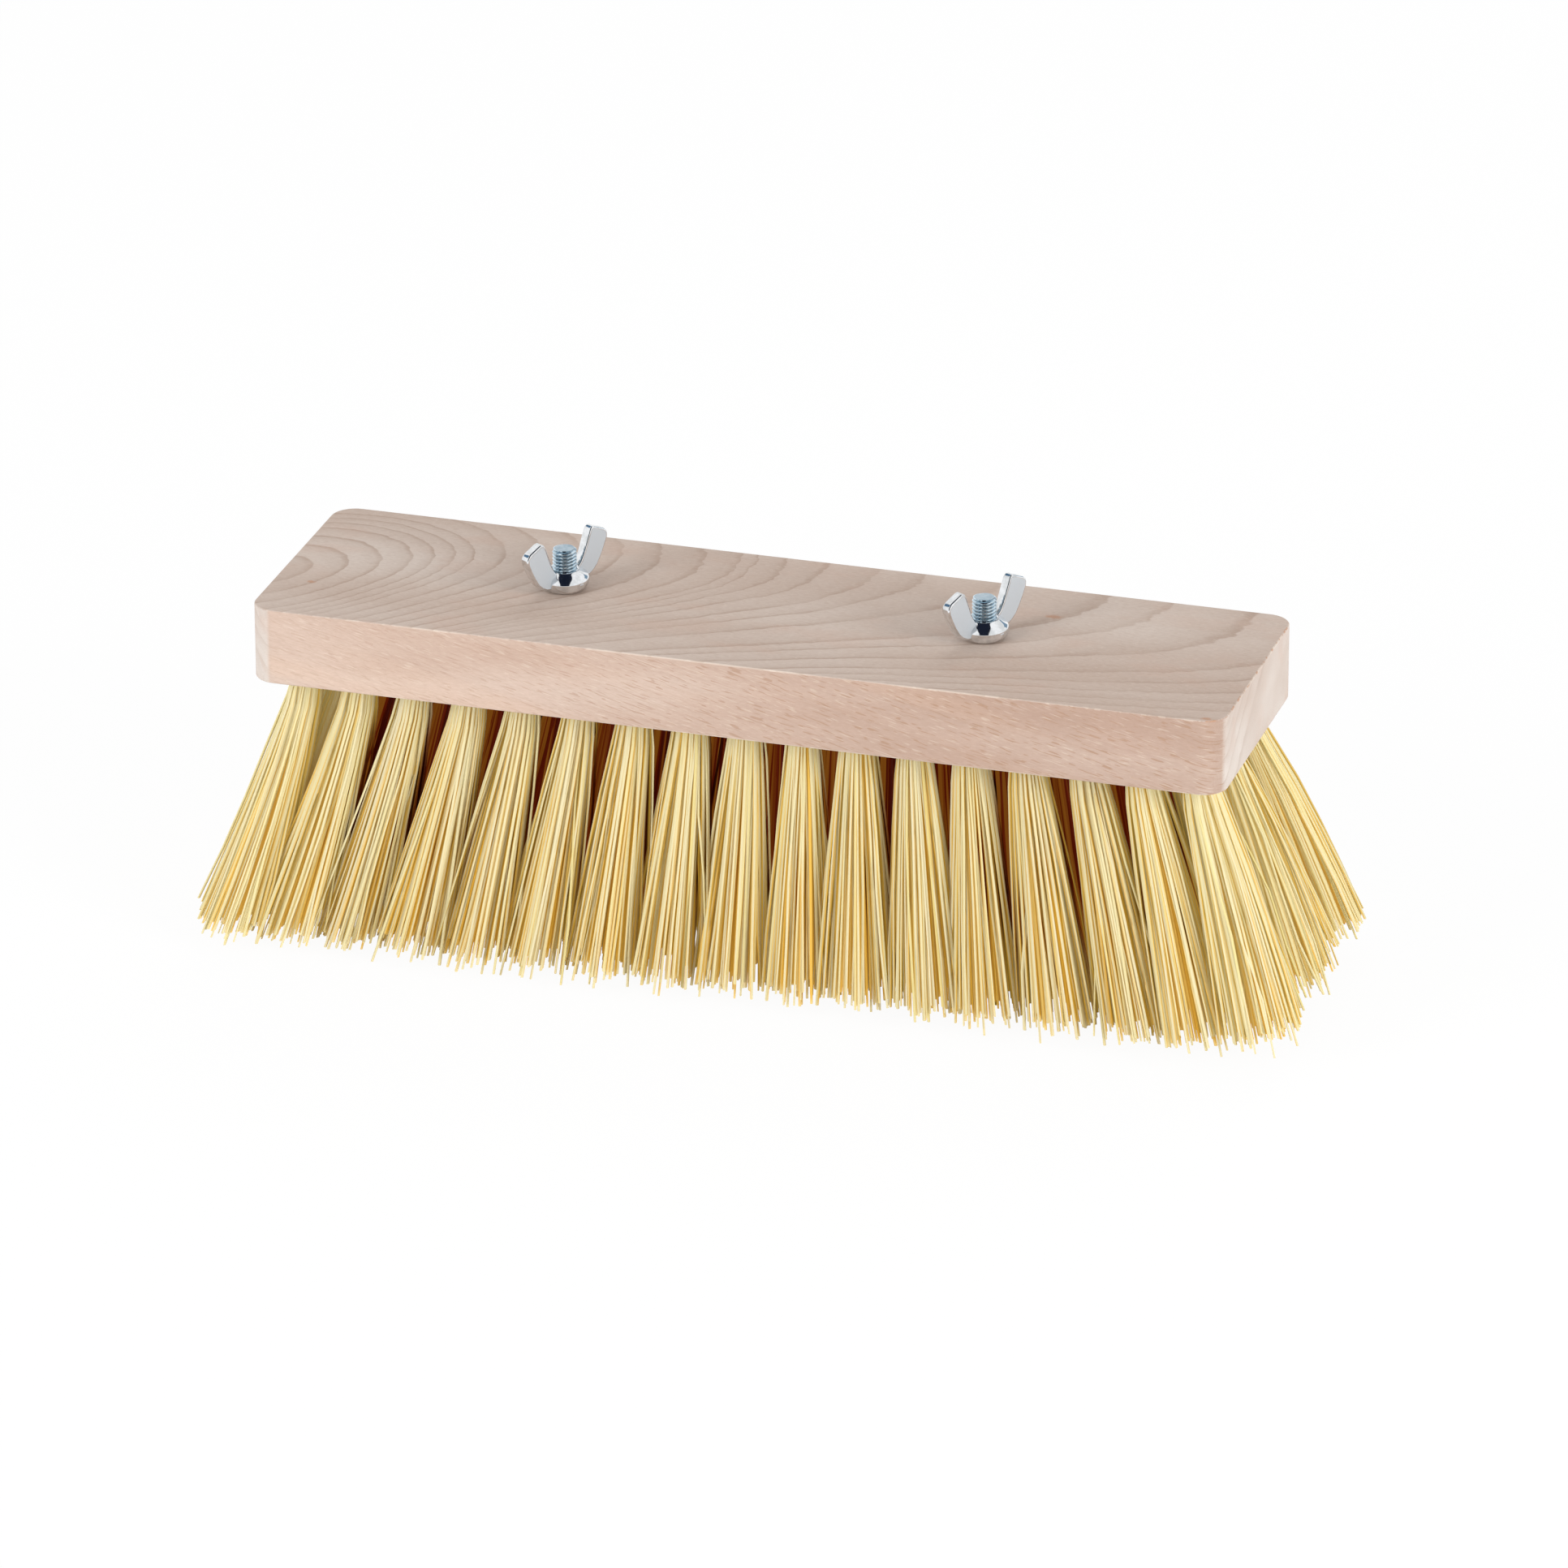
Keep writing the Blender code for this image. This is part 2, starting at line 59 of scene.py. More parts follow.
GOLDEN_ANGLE = math.pi * (3 - math.sqrt(5))
TINY = 1e-6
NEAR = 1e-5
MM = 0.001


class Slot(enum.Enum):
    """The four materials' names."""

    BEECH = "beech"
    FIBRE = "fibre"
    BOLT = "bolt_zinc"
    NUT = "nut_zinc"


class Side(enum.Enum):
    """The two fixings, left and right of the middle."""

    LEFT = -1
    RIGHT = 1

    @property
    def word(self) -> str:
        """The side's name, as the CAD nodes and bodies write it."""
        return self.name.lower()


# Shader expressions

def arithmetic(operation: str, swapped: bool = False) -> Callable[["Signal", Any], "Signal"]:
    """Makes one of Signal's two-sided methods.

    Args:
        operation: the Math node's operation.
        swapped: whether the other value comes first, as in a reflected operator.

    Returns:
        The method.
    """
    def apply(self: "Signal", other: Any) -> "Signal":
        """Joins this value and another in one Math node."""
        return self.math(operation, *((other, self) if swapped else (self, other)))

    return apply


@dataclass(frozen=True, eq=False)
class Signal:
    """A shader value that takes part in ordinary arithmetic."""

    graph: "Graph"
    socket: bpy.types.NodeSocket

    __add__, __radd__ = arithmetic("ADD"), arithmetic("ADD", True)
    __sub__, __rsub__ = arithmetic("SUBTRACT"), arithmetic("SUBTRACT", True)
    __mul__, __rmul__ = arithmetic("MULTIPLY"), arithmetic("MULTIPLY", True)
    __truediv__, __rtruediv__ = arithmetic("DIVIDE"), arithmetic("DIVIDE", True)
    __pow__, __rpow__ = arithmetic("POWER"), arithmetic("POWER", True)
    maximum = arithmetic("MAXIMUM")

    def math(self, operation: str, *values: Any) -> "Signal":
        """One Math node over some values, in order."""
        return self.graph.node("Math", dict(enumerate(values)), operation=operation)

    def fract(self) -> "Signal":
        """The part after the point."""
        return self.math("FRACT", self)

    def step(self, low: float, high: float) -> "Signal":
        """A smooth rise from 0 at low to 1 at high.

        Args:
            low: where the rise starts; above high, the value falls instead.
            high: where it ends.

        Returns:
            The stepped value.
        """
        ends = (low, high, 0.0, 1.0) if low < high else (high, low, 1.0, 0.0)
        return self.graph.node(
            "MapRange", dict(enumerate((self, *ends))), interpolation_type="SMOOTHSTEP")


class Graph:
    """The node tree of a material or a world, built from one method and short names for it."""

    def __init__(self, owner: Material | bpy.types.World) -> None:
        """Empties the owner's tree.

        Args:
            owner: the new material or world to shade.
        """
        self.owner = owner
        owner.use_nodes = True
        self.tree = owner.node_tree
        self.tree.nodes.clear()

    def node(self, kind: str, inputs: dict[Any, Any], output: Any = 0, **settings: Any) -> Signal:
        """Adds a node of any type.

        Args:
            kind: the node's type, less the ShaderNode in front.
            inputs: a value or a Signal for each named or numbered input.
            output: which output to return.
            settings: its properties, set first.

        Returns:
            The chosen output.
        """
        made = self.tree.nodes.new("ShaderNode" + kind)
        for key, value in settings.items():
            setattr(made, key, value)
        for key, value in inputs.items():
            if isinstance(value, Signal):
                self.tree.links.new(value.socket, made.inputs[key])
            else:
                made.inputs[key].default_value = value
        return Signal(self, made.outputs[output])

    def place(self, scale: Point, turn: Point = NO_TURN, shift: Point = NO_SHIFT) -> Signal:
        """Object coordinates, turned, scaled and shifted.

        Args:
            scale: units for each metre along X, Y and Z.
            turn: turns about X, Y and Z in degrees.
            shift: what is added after that.

        Returns:
            The mapped vector.
        """
        source = self.node("TexCoord", {}, "Object")
        turned = self.node("Mapping", {"Vector": source, "Rotation": tuple(map(math.radians, turn))})
        return self.node("Mapping", {"Vector": turned, "Scale": scale, "Location": shift})

    def split(self, vector: Signal) -> tuple[Signal, ...]:
        """A vector's three parts."""
        parts = self.node("SeparateXYZ", {0: vector})
        return tuple(Signal(self, socket) for socket in parts.socket.node.outputs)

    def attribute(self, name: str, output: str = "Fac") -> Signal:
        """A value stored on the piece."""
        return self.node("Attribute", {}, output, attribute_name=name)

    def ramp(self, factor: Signal, colours: Sequence[Colour],
             places: Sequence[float] | None = None) -> Signal:
        """A colour ramp.

        Args:
            factor: where the ramp is read.
            colours: its stops' colours.
            places: where the stops are, from 0 to 1; evenly spread if left out.

        Returns:
            The ramp's colour.
        """
        made = self.node("ValToRGB", {0: factor})
        stops = made.socket.node.color_ramp.elements
        stops.remove(stops[-1])
        for number, colour in enumerate(colours):
            place = places[number] if places else number / (len(colours) - 1)
            stop = stops.new(place) if number else stops[0]
            stop.position, stop.color = place, (*colour, 1.0)
        return made

    def coats(self, base: Signal | Colour, *layers: tuple[Any, ...]) -> Signal:
        """Lays colours over one another.

        Args:
            base: the colour underneath.
            layers: for each coat how much of it shows, its colour and, if not MIX, its blend.

        Returns:
            The finished colour.
        """
        for share, colour, *blend in layers:
            ends = [c if isinstance(c, Signal) else (*c, 1.0) for c in (base, colour)]
            base = self.node("Mix", {0: share, 6: ends[0], 7: ends[1]}, 2, data_type="RGBA",
                             blend_type=blend[0] if blend else "MIX")
        return base

    def bump(self, height: Signal, strength: float, depth: float) -> Signal:
        """The normal that a height from 0 to 1 gives, where 1 measures the depth."""
        return self.node("Bump", {"Strength": strength, "Distance": depth, "Height": height})

    def surface(self, shader: Signal) -> None:
        """Ends the tree with a shader.

        Args:
            shader: what the owner shows.
        """
        kind = "World" if isinstance(self.owner, bpy.types.World) else "Material"
        target = self.tree.nodes.new("ShaderNodeOutput" + kind)
        self.tree.links.new(shader.socket, target.inputs["Surface"])

    def finish(self, inputs: dict[str, Any]) -> Material:
        """Ends a material with one Principled shader, kept from being sampled as a lamp.

        Args:
            inputs: a value or a Signal for each socket that it sets.

        Returns:
            The finished material.
        """
        self.surface(self.node("BsdfPrincipled", inputs))
        self.owner.cycles.emission_sampling = "NONE"
        return self.owner


@dataclass(frozen=True)
class Grain:
    """A soft noise pattern in a piece's own coordinates, scaled in lumps a metre."""

    scale: Point
    low: float = 0.0
    high: float = 1.0
    share: float = 1.0
    turn: Point = NO_TURN
    shift: Point = NO_SHIFT
    detail: float = 2.0
    roughness: float = 0.5

    def noise(self, graph: Graph) -> Signal:
        """The plain noise, around 0.5."""
        return graph.node("TexNoise", {
            "Vector": graph.place(self.scale, self.turn, self.shift), "Scale": 1.0,
            "Detail": self.detail, "Roughness": self.roughness})

    def marks(self, graph: Graph) -> Signal:
        """0 where the noise is at its low level, and the share where it is at its high one."""
        return self.noise(graph).step(self.low, self.high) * self.share


def strokes(size: Point, turn: Point, shift: float, low: float, high: float,
            share: float = 1.0) -> Grain:
    """Short strokes along the grain.

    Args:
        size: a stroke's length along each axis, in metres.
        turn: how the strokes are turned, in degrees.
        shift: moves the pattern, so that no two sets are alike.
        low: the noise at which a stroke starts.
        high: the noise at which it is full.
        share: how strong a full stroke is.

    Returns:
        The pattern, 0 beside the strokes.
    """
    scale = tuple(1.0 / length for length in size)
    return Grain(scale, low, high, share, turn, (shift, shift, shift), 0.0)


# Finishes

@dataclass(frozen=True)
class BeechFinish:
    """Planed bare beech whose growth rings run through the block as one solid pattern."""

    flat_cut: Colour = (0.61, 0.52, 0.46)
    side_cut: Colour = (0.58, 0.452, 0.379)
    end_cut: Colour = (0.635, 0.572, 0.525)
    ring_line: Colour = (0.40, 0.295, 0.235)
    fleck: Colour = (0.38, 0.24, 0.165)
    # Pale flecks and chips; the same colour is also laid along the arrises as a painted highlight.
    pale_fleck_and_highlight: Colour = (0.80, 0.72, 0.62)
    stain: Colour = (0.45, 0.245, 0.15)
    warm: Colour = (0.56, 0.38, 0.30)
    band: Colour = (0.62, 0.44, 0.33)
    brown_cast: Colour = (0.60, 0.43, 0.33)
    pale_cast: Colour = (0.78, 0.72, 0.66)
    right_cast: Colour = (0.835, 0.80, 0.785)
    fine_cast: Colour = (0.46, 0.36, 0.29)
    heart: Pair = (-142.78, -10.35)
    heart_turn_deg: float = 55.82
    stretch: float = 0.7191
    bends: tuple[float, ...] = (45.72, -36.92, 1.44, -14.65, -21.82)
    sink: float = 1.4
    top_level_mm: float = 94.0
    widest: float = 140.0
    wander_mm: float = 3.0
    wiggle_mm: float = 1.1
    line_rise: Pair = (0.74, 0.95)
    line_fall: Pair = (1.0, 0.955)
    shade_rise: Pair = (0.15, 0.92)
    shade_fall: Pair = (1.0, 0.95)
    to_right: Pair = (-0.128571, 0.085714)
    to_corner: Pair = (0.122, 0.136)
    side_hides: float = 0.88
    end_hides: float = 0.55
    shade_share: float = 0.24
    line_share: float = 0.66
    line_least: float = 0.25
    pore_share: float = 0.22
    ray_share: float = 0.22
    right_rays: float = 0.60
    warm_share: float = 0.22
    warm_less: float = 0.14
    fine_share: float = 0.10
    fine_swing: float = 0.35
    speck_share: float = 0.75
    speck_squash: float = 0.55
    speck_wobble: float = 1.2
    speck_core: float = 0.2
    roughness: Pair = (0.62, 0.16)
    reliefs: tuple[float, ...] = (0.6, 0.3, 0.2, 0.2)
    relief_depth: float = 0.00012
    bump_share: float = 0.35
    shine: float = 0.35
    rings: tuple[float, ...] = (
        9.4, 15.9, 21.4, 26.3, 29.5, 32.5, 35.2, 39.7, 44.1, 48.5, 52.7, 57.1, 61.5, 64.8, 66.1,
        68.5, 71.4, 75.6, 78.9, 83.9, 91.7, 95.0, 100.4, 105.6, 109.0, 112.4, 115.8, 119.0, 123.0)
    specks_mm: tuple[Point, ...] = ((76.0, 19.5, 1.7), (-129.2, -16.0, 1.0), (135.0, -37.0, 1.3))
    speck_ragged: Grain = Grain((900.0, 900.0, 900.0), detail=1.0)
    wander: Grain = Grain((25.0, 25.0, 25.0), detail=1.0)
    wiggle: Grain = Grain((180.0, 260.0, 180.0), shift=(3.0, 7.0, 1.0))
    brown_cloud: Grain = Grain((9.0, 30.0, 60.0), 0.35, 0.75, 0.35)
    pale_cloud: Grain = Grain((9.0, 30.0, 60.0), 0.5, 0.2, 0.18)
    ring_fade: Grain = Grain((35.0, 60.0, 60.0), 0.3, 0.65, 0.75, shift=(5.0, 2.0, 9.0))
    # A painted highlight along the broken arrises, in noisy patches.
    painted_arris_highlight: Grain = Grain((35.0, 60.0, 60.0), 0.45, 0.6, 0.25, shift=(5.0, 2.0, 9.0))
    pores: Grain = strokes((0.0022, 0.00022, 0.00022), (0.0, 0.0, 3.0), 4.0, 0.60, 0.72)
    glints: Grain = strokes((0.0018, 0.0002, 0.0002), (0.0, 0.0, -2.0), 9.0, 0.62, 0.74, 0.20)
    rays: Grain = strokes((0.0046, 0.004, 0.0004), (0.0, -14.0, 0.0), 2.0, 0.66, 0.70)
    pale_rays: Grain = strokes((0.004, 0.004, 0.00036), (0.0, -14.0, 0.0), 6.0, 0.66, 0.76, 0.18)
    bands: Grain = Grain((6.0, 60.0, 75.0), 0.5, 0.66, 0.3, (0.0, -11.0, 0.0), detail=1.0)
    lines: Grain = Grain((22.0, 60.0, 1500.0), 0.48, 0.72, 0.16, (0.0, -13.0, 0.0))
    thin: Grain = Grain((60.0, 1300.0, 90.0), 0.45, 0.7, 0.22, (14.0, 0.0, 0.0))
    warmth: Grain = Grain((45.0, 90.0, 90.0), 0.5, 0.72, shift=(1.0, 8.0, 4.0))
    fine: Grain = Grain((700.0, 2600.0, 2600.0), detail=3.0, roughness=0.6)
    dark_chips: Grain = Grain(
        (420.0, 420.0, 420.0), 0.5, 0.58, 0.7, shift=(2.0, 2.0, 2.0), detail=1.0)
    pale_chips: Grain = Grain(
        (420.0, 420.0, 420.0), 0.42, 0.36, 0.2, shift=(2.0, 2.0, 2.0), detail=1.0)

    def ring_phase(self, graph: Graph) -> Signal:
        """Which growth ring a point is in, counted from the heart.

        Args:
            graph: the material's graph.

        Returns:
            The ring's number, with how far across it the point is after the point.
        """
        x, y, z = graph.split(graph.place((1000.0, 1000.0, 1000.0)))
        y = y + self.sink * (self.top_level_mm - z)
        turn = math.radians(self.heart_turn_deg)
        x, y = x - self.heart[0], y - self.heart[1]
        u = x * math.cos(turn) + y * math.sin(turn)
        v = y * math.cos(turn) - x * math.sin(turn)
        a, b = u / 100.0, v / 100.0
        k1, k2, k3, k4, k5 = self.bends
        across = v + a * a * (k1 + k5 * a) + k2 * (a * b)
        along = self.stretch * u + k3 * (b * b) + k4 * (a * a)
        reach = (across * across + along * along) ** 0.5
        reach = reach + self.wander_mm * (self.wander.noise(graph) - 0.5)
        reach = reach + self.wiggle_mm * (self.wiggle.noise(graph) - 0.5)
        places = (0.0, *(radius / self.widest for radius in self.rings), 1.0)
        count = len(places) - 1
        levels = [(number / count,) * 3 for number in range(count + 1)]
        return graph.ramp(reach / self.widest, levels, places) * float(count)

    def speck(self, graph: Graph, spot: Point) -> Signal:
        """A small reddish pin knot on the flat-cut face.

        Args:
            graph: the material's graph.
            spot: its places along and across the block, and its radius, in millimetres.

        Returns:
            1 in its middle, falling to 0 at its edge.
        """
        x_mm, y_mm, radius_mm = spot
        x, y, _ = graph.split(graph.place((1000.0, 1000.0, 1000.0), shift=(-x_mm, -y_mm, 0.0)))
        x = x * self.speck_squash
        far = (x * x + y * y) ** 0.5 + self.speck_wobble * (self.speck_ragged.noise(graph) - 0.5)
        return far.step(radius_mm, self.speck_core * radius_mm)

    def material(self) -> Material:
        """Builds the material.

        Returns:
            Beech, read from Object coordinates and the block's "cut" attribute.
        """
        graph = Graph(bpy.data.materials.new("beech"))
        side, end, arris = graph.split(graph.attribute("cut", "Color"))
        flat = (1.0 - side - end).maximum(0.0)
        across = self.ring_phase(graph).fract()
        line = across.step(*self.line_rise) * across.step(*self.line_fall)
        shade = across.step(*self.shade_rise) * across.step(*self.shade_fall)
        shown = 1.0 - self.side_hides * side - self.end_hides * end
        strength = self.line_least + self.ring_fade.marks(graph)
        x = graph.split(graph.place((1.0, 1.0, 1.0)))[0]
        right, corner = x.step(*self.to_right), x.step(*self.to_corner)
        pores, rays, fine = self.pores.marks(graph), self.rays.marks(graph), self.fine.noise(graph)
        base = graph.coats(
            self.flat_cut,
            (side, self.side_cut),
            (end, self.end_cut),
            (self.brown_cloud.marks(graph), self.brown_cast, "MULTIPLY"),
            (self.pale_cloud.marks(graph), self.pale_cast),
            (shade * shown * self.shade_share, self.ring_line),
            (line * strength * shown * self.line_share, self.ring_line),
            (pores * flat * self.pore_share, self.fleck),
            (self.glints.marks(graph) * flat, self.pale_fleck_and_highlight),
            (self.bands.marks(graph) * side, self.band),
            (right * side, self.right_cast, "MULTIPLY"),
            (self.lines.marks(graph) * side, self.fleck),
            (rays * side * (self.ray_share + self.right_rays * right), self.fleck),
            (self.pale_rays.marks(graph) * side, self.pale_fleck_and_highlight),
            (self.thin.marks(graph) * end, self.side_cut),
            (self.warmth.marks(graph) * (self.warm_share - self.warm_less * side), self.warm),
            ((fine - 0.5) * self.fine_swing + self.fine_share, self.fine_cast, "MULTIPLY"),
            *((self.speck(graph, spot) * flat * self.speck_share, self.stain)
              for spot in self.specks_mm),
            # painted highlight along the broken arrises
            (arris * self.painted_arris_highlight.marks(graph), self.pale_fleck_and_highlight),
            (arris * corner * self.dark_chips.marks(graph), self.stain),
            (arris * self.pale_chips.marks(graph), self.pale_fleck_and_highlight))
        swell, ridge, pore, ray = self.reliefs
        relief = fine * swell + (1.0 - line) * ridge - pores * pore - rays * ray
        least, more = self.roughness
        return graph.finish({
            "Specular IOR Level": self.shine, "Base Color": base, "Roughness": least + fine * more,
            "Normal": graph.bump(relief, self.bump_share, self.relief_depth)})


@dataclass(frozen=True)
class FibreFinish:
    """Pale yellow plant fibre, each its own colour, from the piece's attributes, with painted shade and
    glow.
    """

    tones: tuple[Colour, ...] = (
        (0.60, 0.42, 0.12), (0.655, 0.52, 0.19), (0.685, 0.585, 0.265), (0.69, 0.61, 0.345),
        (0.685, 0.612, 0.378), (0.69, 0.625, 0.425))
    # Painted shade on fibre sides that face into their tuft.
    deep: Colour = (0.60, 0.312, 0.016)
    # Painted shade under the block: amber round the brush's dark core, near black in it.
    amber: Colour = (0.38, 0.10, 0.004)
    core: Colour = (0.06, 0.002, 0.0005)
    streak: Colour = (0.67, 0.52, 0.22)
    cut_end: Colour = (0.76, 0.66, 0.38)
    unlit: Colour = (0.0, 0.0, 0.0)
    # Painted light: the glow on fibre sides that face into their tuft, and over the end fans.
    seep: Colour = (0.18, 0.114, 0.016)
    painted_end_light: Colour = (0.07, 0.06, 0.02)
    # Painted light in the shade under the block, from a tuft's shaded side to its lit one.
    glows: tuple[Colour, ...] = (
        (0.003, 0.0002, 0.0), (0.026, 0.001, 0.0002), (0.07, 0.006, 0.0006),
        (0.155, 0.052, 0.005))
    drift: Grain = Grain((260.0, 260.0, 45.0))
    grain: Grain = Grain((4200.0, 4200.0, 160.0))
    drift_share: float = 0.3
    streak_range: Pair = (0.5, 0.75)
    streak_share: float = 0.2
    deep_range: Pair = (0.25, 0.75)
    deep_share: float = 0.92
    # where the painted shade under the block turns amber, then near black
    amber_range: Pair = (0.0, 0.28)
    core_range: Pair = (0.16, 0.5)
    core_share: float = 0.97
    glow_range: Pair = (0.03, 0.3)
    cut_range: Pair = (0.97, 1.0)
    cut_share: float = 0.5
    roughness: Pair = (0.46, 0.2)
    bump_share: float = 0.15
    relief_depth: float = 0.00004
    shine: float = 0.14

    def material(self) -> Material:
        """Builds the material.

        Returns:
            Fibre, read from the attributes that Bristles stores and Object coordinates. Its
            glow is painted light that stands for the light that seeps through the fibres: amber
            between neighbours, pale in the thin fans at the ends, and maroon in the shade under the
            block. Its base colour carries painted shade on fibre sides that face into a tuft and in
            the brush's core under the block.
        """
        graph = Graph(bpy.data.materials.new("fibre"))
        tone_and_shade, core = graph.attribute("tone_and_shade"), graph.attribute("core")
        grain = self.grain.noise(graph)
        inward = graph.attribute("inward").step(*self.deep_range)
        base = graph.coats(
            # the fibre's own colour, darkened by painted shade deep inside the tuft
            graph.ramp(tone_and_shade + self.drift_share * (self.drift.noise(graph) - 0.5), self.tones),
            (grain.step(*self.streak_range) * self.streak_share, self.streak),
            # painted shade on fibre sides that face into their tuft
            (inward * self.deep_share, self.deep),
            # painted shade in the brush's core under the block
            (core.step(*self.amber_range) * self.deep_share, self.amber),
            (core.step(*self.core_range) * self.core_share, self.core),
            (graph.attribute("along").step(*self.cut_range) * self.cut_share, self.cut_end))
        # The glow is painted light, not a lamp.
        glow = graph.coats(
            self.unlit,
            (inward, self.seep),
            (graph.attribute("painted_end_light"), self.painted_end_light, "ADD"),
            (core.step(*self.glow_range), graph.ramp(graph.attribute("lit"), self.glows)))
        least, more = self.roughness
        return graph.finish({
            "Specular IOR Level": self.shine, "Emission Strength": 1.0, "Emission Color": glow,
            "Base Color": base, "Roughness": least + grain * more,
            "Normal": graph.bump(grain, self.bump_share, self.relief_depth)})


@dataclass(frozen=True)
class ZincFinish:
    """Bright zinc plate over steel."""

    name: str
    bright: Colour
    dull: Colour
    # The colour laid as painted shade in the thread's valleys, and on the bolt's cut end.
    painted_groove_shade: Colour
    satin: Colour
    smoothest: float
    roughest: float
    relief: float
    bloom: Grain = Grain((320.0, 320.0, 320.0), detail=3.0, roughness=0.6)
    grit: Grain = Grain((2600.0, 2600.0, 2600.0), detail=3.0, roughness=0.65)
    scratches: Grain = Grain((500.0, 6000.0, 900.0), 0.66, 0.78, turn=(20.0, 10.0, 35.0))
    dull_range: Pair = (0.35, 0.7)
    rough_range: Pair = (0.3, 0.75)
    scratch_share: float = 0.25
    scratch_rough: float = 0.06
    # how dark the painted shade in the thread's valleys is
    groove_share: float = 0.52
    satin_rough: float = 0.5
    satin_less_metal: float = 0.62
    reliefs: Point = (0.5, 0.8, 0.2)
    relief_depth: float = 0.00003

    def material(self) -> Material:
        """Builds the material.

        Returns:
            Plated metal with a soft bloom, fine scratches and small dents.
        """
        graph = Graph(bpy.data.materials.new(self.name))
        bloom, scratch = self.bloom.noise(graph), self.scratches.marks(graph)
        satin = graph.attribute("satin")
        base = graph.coats(
            self.bright,
            (bloom.step(*self.dull_range), self.dull),
            (scratch * self.scratch_share, self.dull),
            # painted shade in the thread's valleys, and a darker cut end
            (graph.attribute("painted_groove_shade") * self.groove_share, self.painted_groove_shade),
            (satin, self.satin))
        spread = self.roughest - self.smoothest
        rough = self.smoothest + spread * bloom.step(*self.rough_range)
        rough = rough + self.scratch_rough * scratch
        grit, swell, scored = self.reliefs
        height = self.grit.noise(graph) * grit + bloom * swell - scratch * scored
        return graph.finish({
            "Base Color": base, "Metallic": 1.0 - self.satin_less_metal * satin,
            "Roughness": rough + satin * (self.satin_rough - rough),
            "Normal": graph.bump(height, self.relief, self.relief_depth)})


# Modelling tools

def activate(piece: Piece) -> None:
    """Selects one object alone and makes it active.

    Args:
        piece: the object to work on.
    """
    bpy.ops.object.select_all(action="DESELECT")
    piece.select_set(True)
    bpy.context.view_layer.objects.active = piece


def start(name: str, add: Callable[..., Any], **sizes: Any) -> Piece:
    """Adds a primitive under a piece's name.

    Args:
        name: the piece's name.
        add: the operator that adds the primitive.
        sizes: the operator's own sizes and place.

    Returns:
        The new object, its place in its mesh.
    """
    bpy.ops.object.select_all(action="DESELECT")
    add(**sizes)
    piece = bpy.context.active_object
    piece.name = piece.data.name = name
    activate(piece)
    bpy.ops.object.transform_apply(location=True, rotation=True, scale=True)
    return piece


def box(name: str, middle: Point, size: Point) -> Piece:
    """Adds a cuboid of a size round its middle."""
    return start(name, bpy.ops.mesh.primitive_cube_add, size=1.0, location=middle, scale=size)


def disc(name: str, sides: int, radius: float = 1.0, middle: Point = NO_SHIFT) -> Piece:
    """Adds a level polygon of a radius round its middle."""
    return start(name, bpy.ops.mesh.primitive_circle_add, vertices=sides, radius=radius,
                 fill_type="NGON", location=middle)


def link(name: str, data: Any) -> Piece:
    """Puts a mesh, a lamp or a camera in the scene.

    Args:
        name: the object's name.
        data: what it shows.

    Returns:
        The new object.
    """
    item = bpy.data.objects.new(name, data)
    bpy.context.scene.collection.objects.link(item)
    return item


@contextmanager
def editing(piece: Piece, kind: str) -> Iterator[None]:
    """Edit mode on a piece, with everything selected at first.

    Args:
        piece: the piece to edit.
        kind: VERT, EDGE or FACE.

    Yields:
        Nothing; edit mode ends with the block.
    """
    activate(piece)
    bpy.ops.object.mode_set(mode="EDIT")
    bpy.ops.mesh.select_mode(type=kind)
    bpy.ops.mesh.select_all(action="SELECT")
    yield
    bpy.ops.object.mode_set(mode="OBJECT")


def push(*by: float) -> None:
    """Extrudes what is selected, in edit mode."""
    bpy.ops.mesh.extrude_region_move(TRANSFORM_OT_translate={"value": by})


def face_outwards() -> None:
    """Turns all normals outwards, in edit mode."""
    bpy.ops.mesh.select_all(action="SELECT")
    bpy.ops.mesh.normals_make_consistent(inside=False)


def bevel(piece: Piece, wanted: Callable[[Any], bool], offset: float,
          segments: int) -> None:
    """Rounds the edges that a test picks, in edit mode.

    Args:
        piece: the piece in edit mode.
        wanted: says of each edge whether it is rounded.
        offset: how far from the edge the rounding starts.
        segments: how many strips it has.
    """
    bpy.ops.mesh.select_mode(type="EDGE")
    mesh_edit = bmesh.from_edit_mesh(piece.data)
    for edge in mesh_edit.edges:
        edge.select_set(wanted(edge))
    mesh_edit.select_flush_mode()
    bmesh.update_edit_mesh(piece.data)
    bpy.ops.mesh.bevel(offset=offset, segments=segments, affect="EDGES")


def apply_modifier(piece: Piece, kind: str, **settings: Any) -> None:
    """Adds a modifier and applies it.

    Args:
        piece: the piece to change.
        kind: the modifier's type.
        settings: its settings.
    """
    activate(piece)
    step = piece.modifiers.new(kind.lower(), kind)
    for key, value in settings.items():
        setattr(step, key, value)
    bpy.ops.object.modifier_apply(modifier=step.name)


def cut(piece: Piece, tool: Piece, operation: str = "DIFFERENCE") -> None:
    """Cuts or joins a piece with another and removes that one.

    Args:
        piece: the piece that stays.
        tool: the piece that is used up.
        operation: DIFFERENCE or UNION.
    """
    apply_modifier(piece, "BOOLEAN", object=tool, operation=operation, solver="EXACT")
    bpy.data.objects.remove(tool, do_unlink=True)


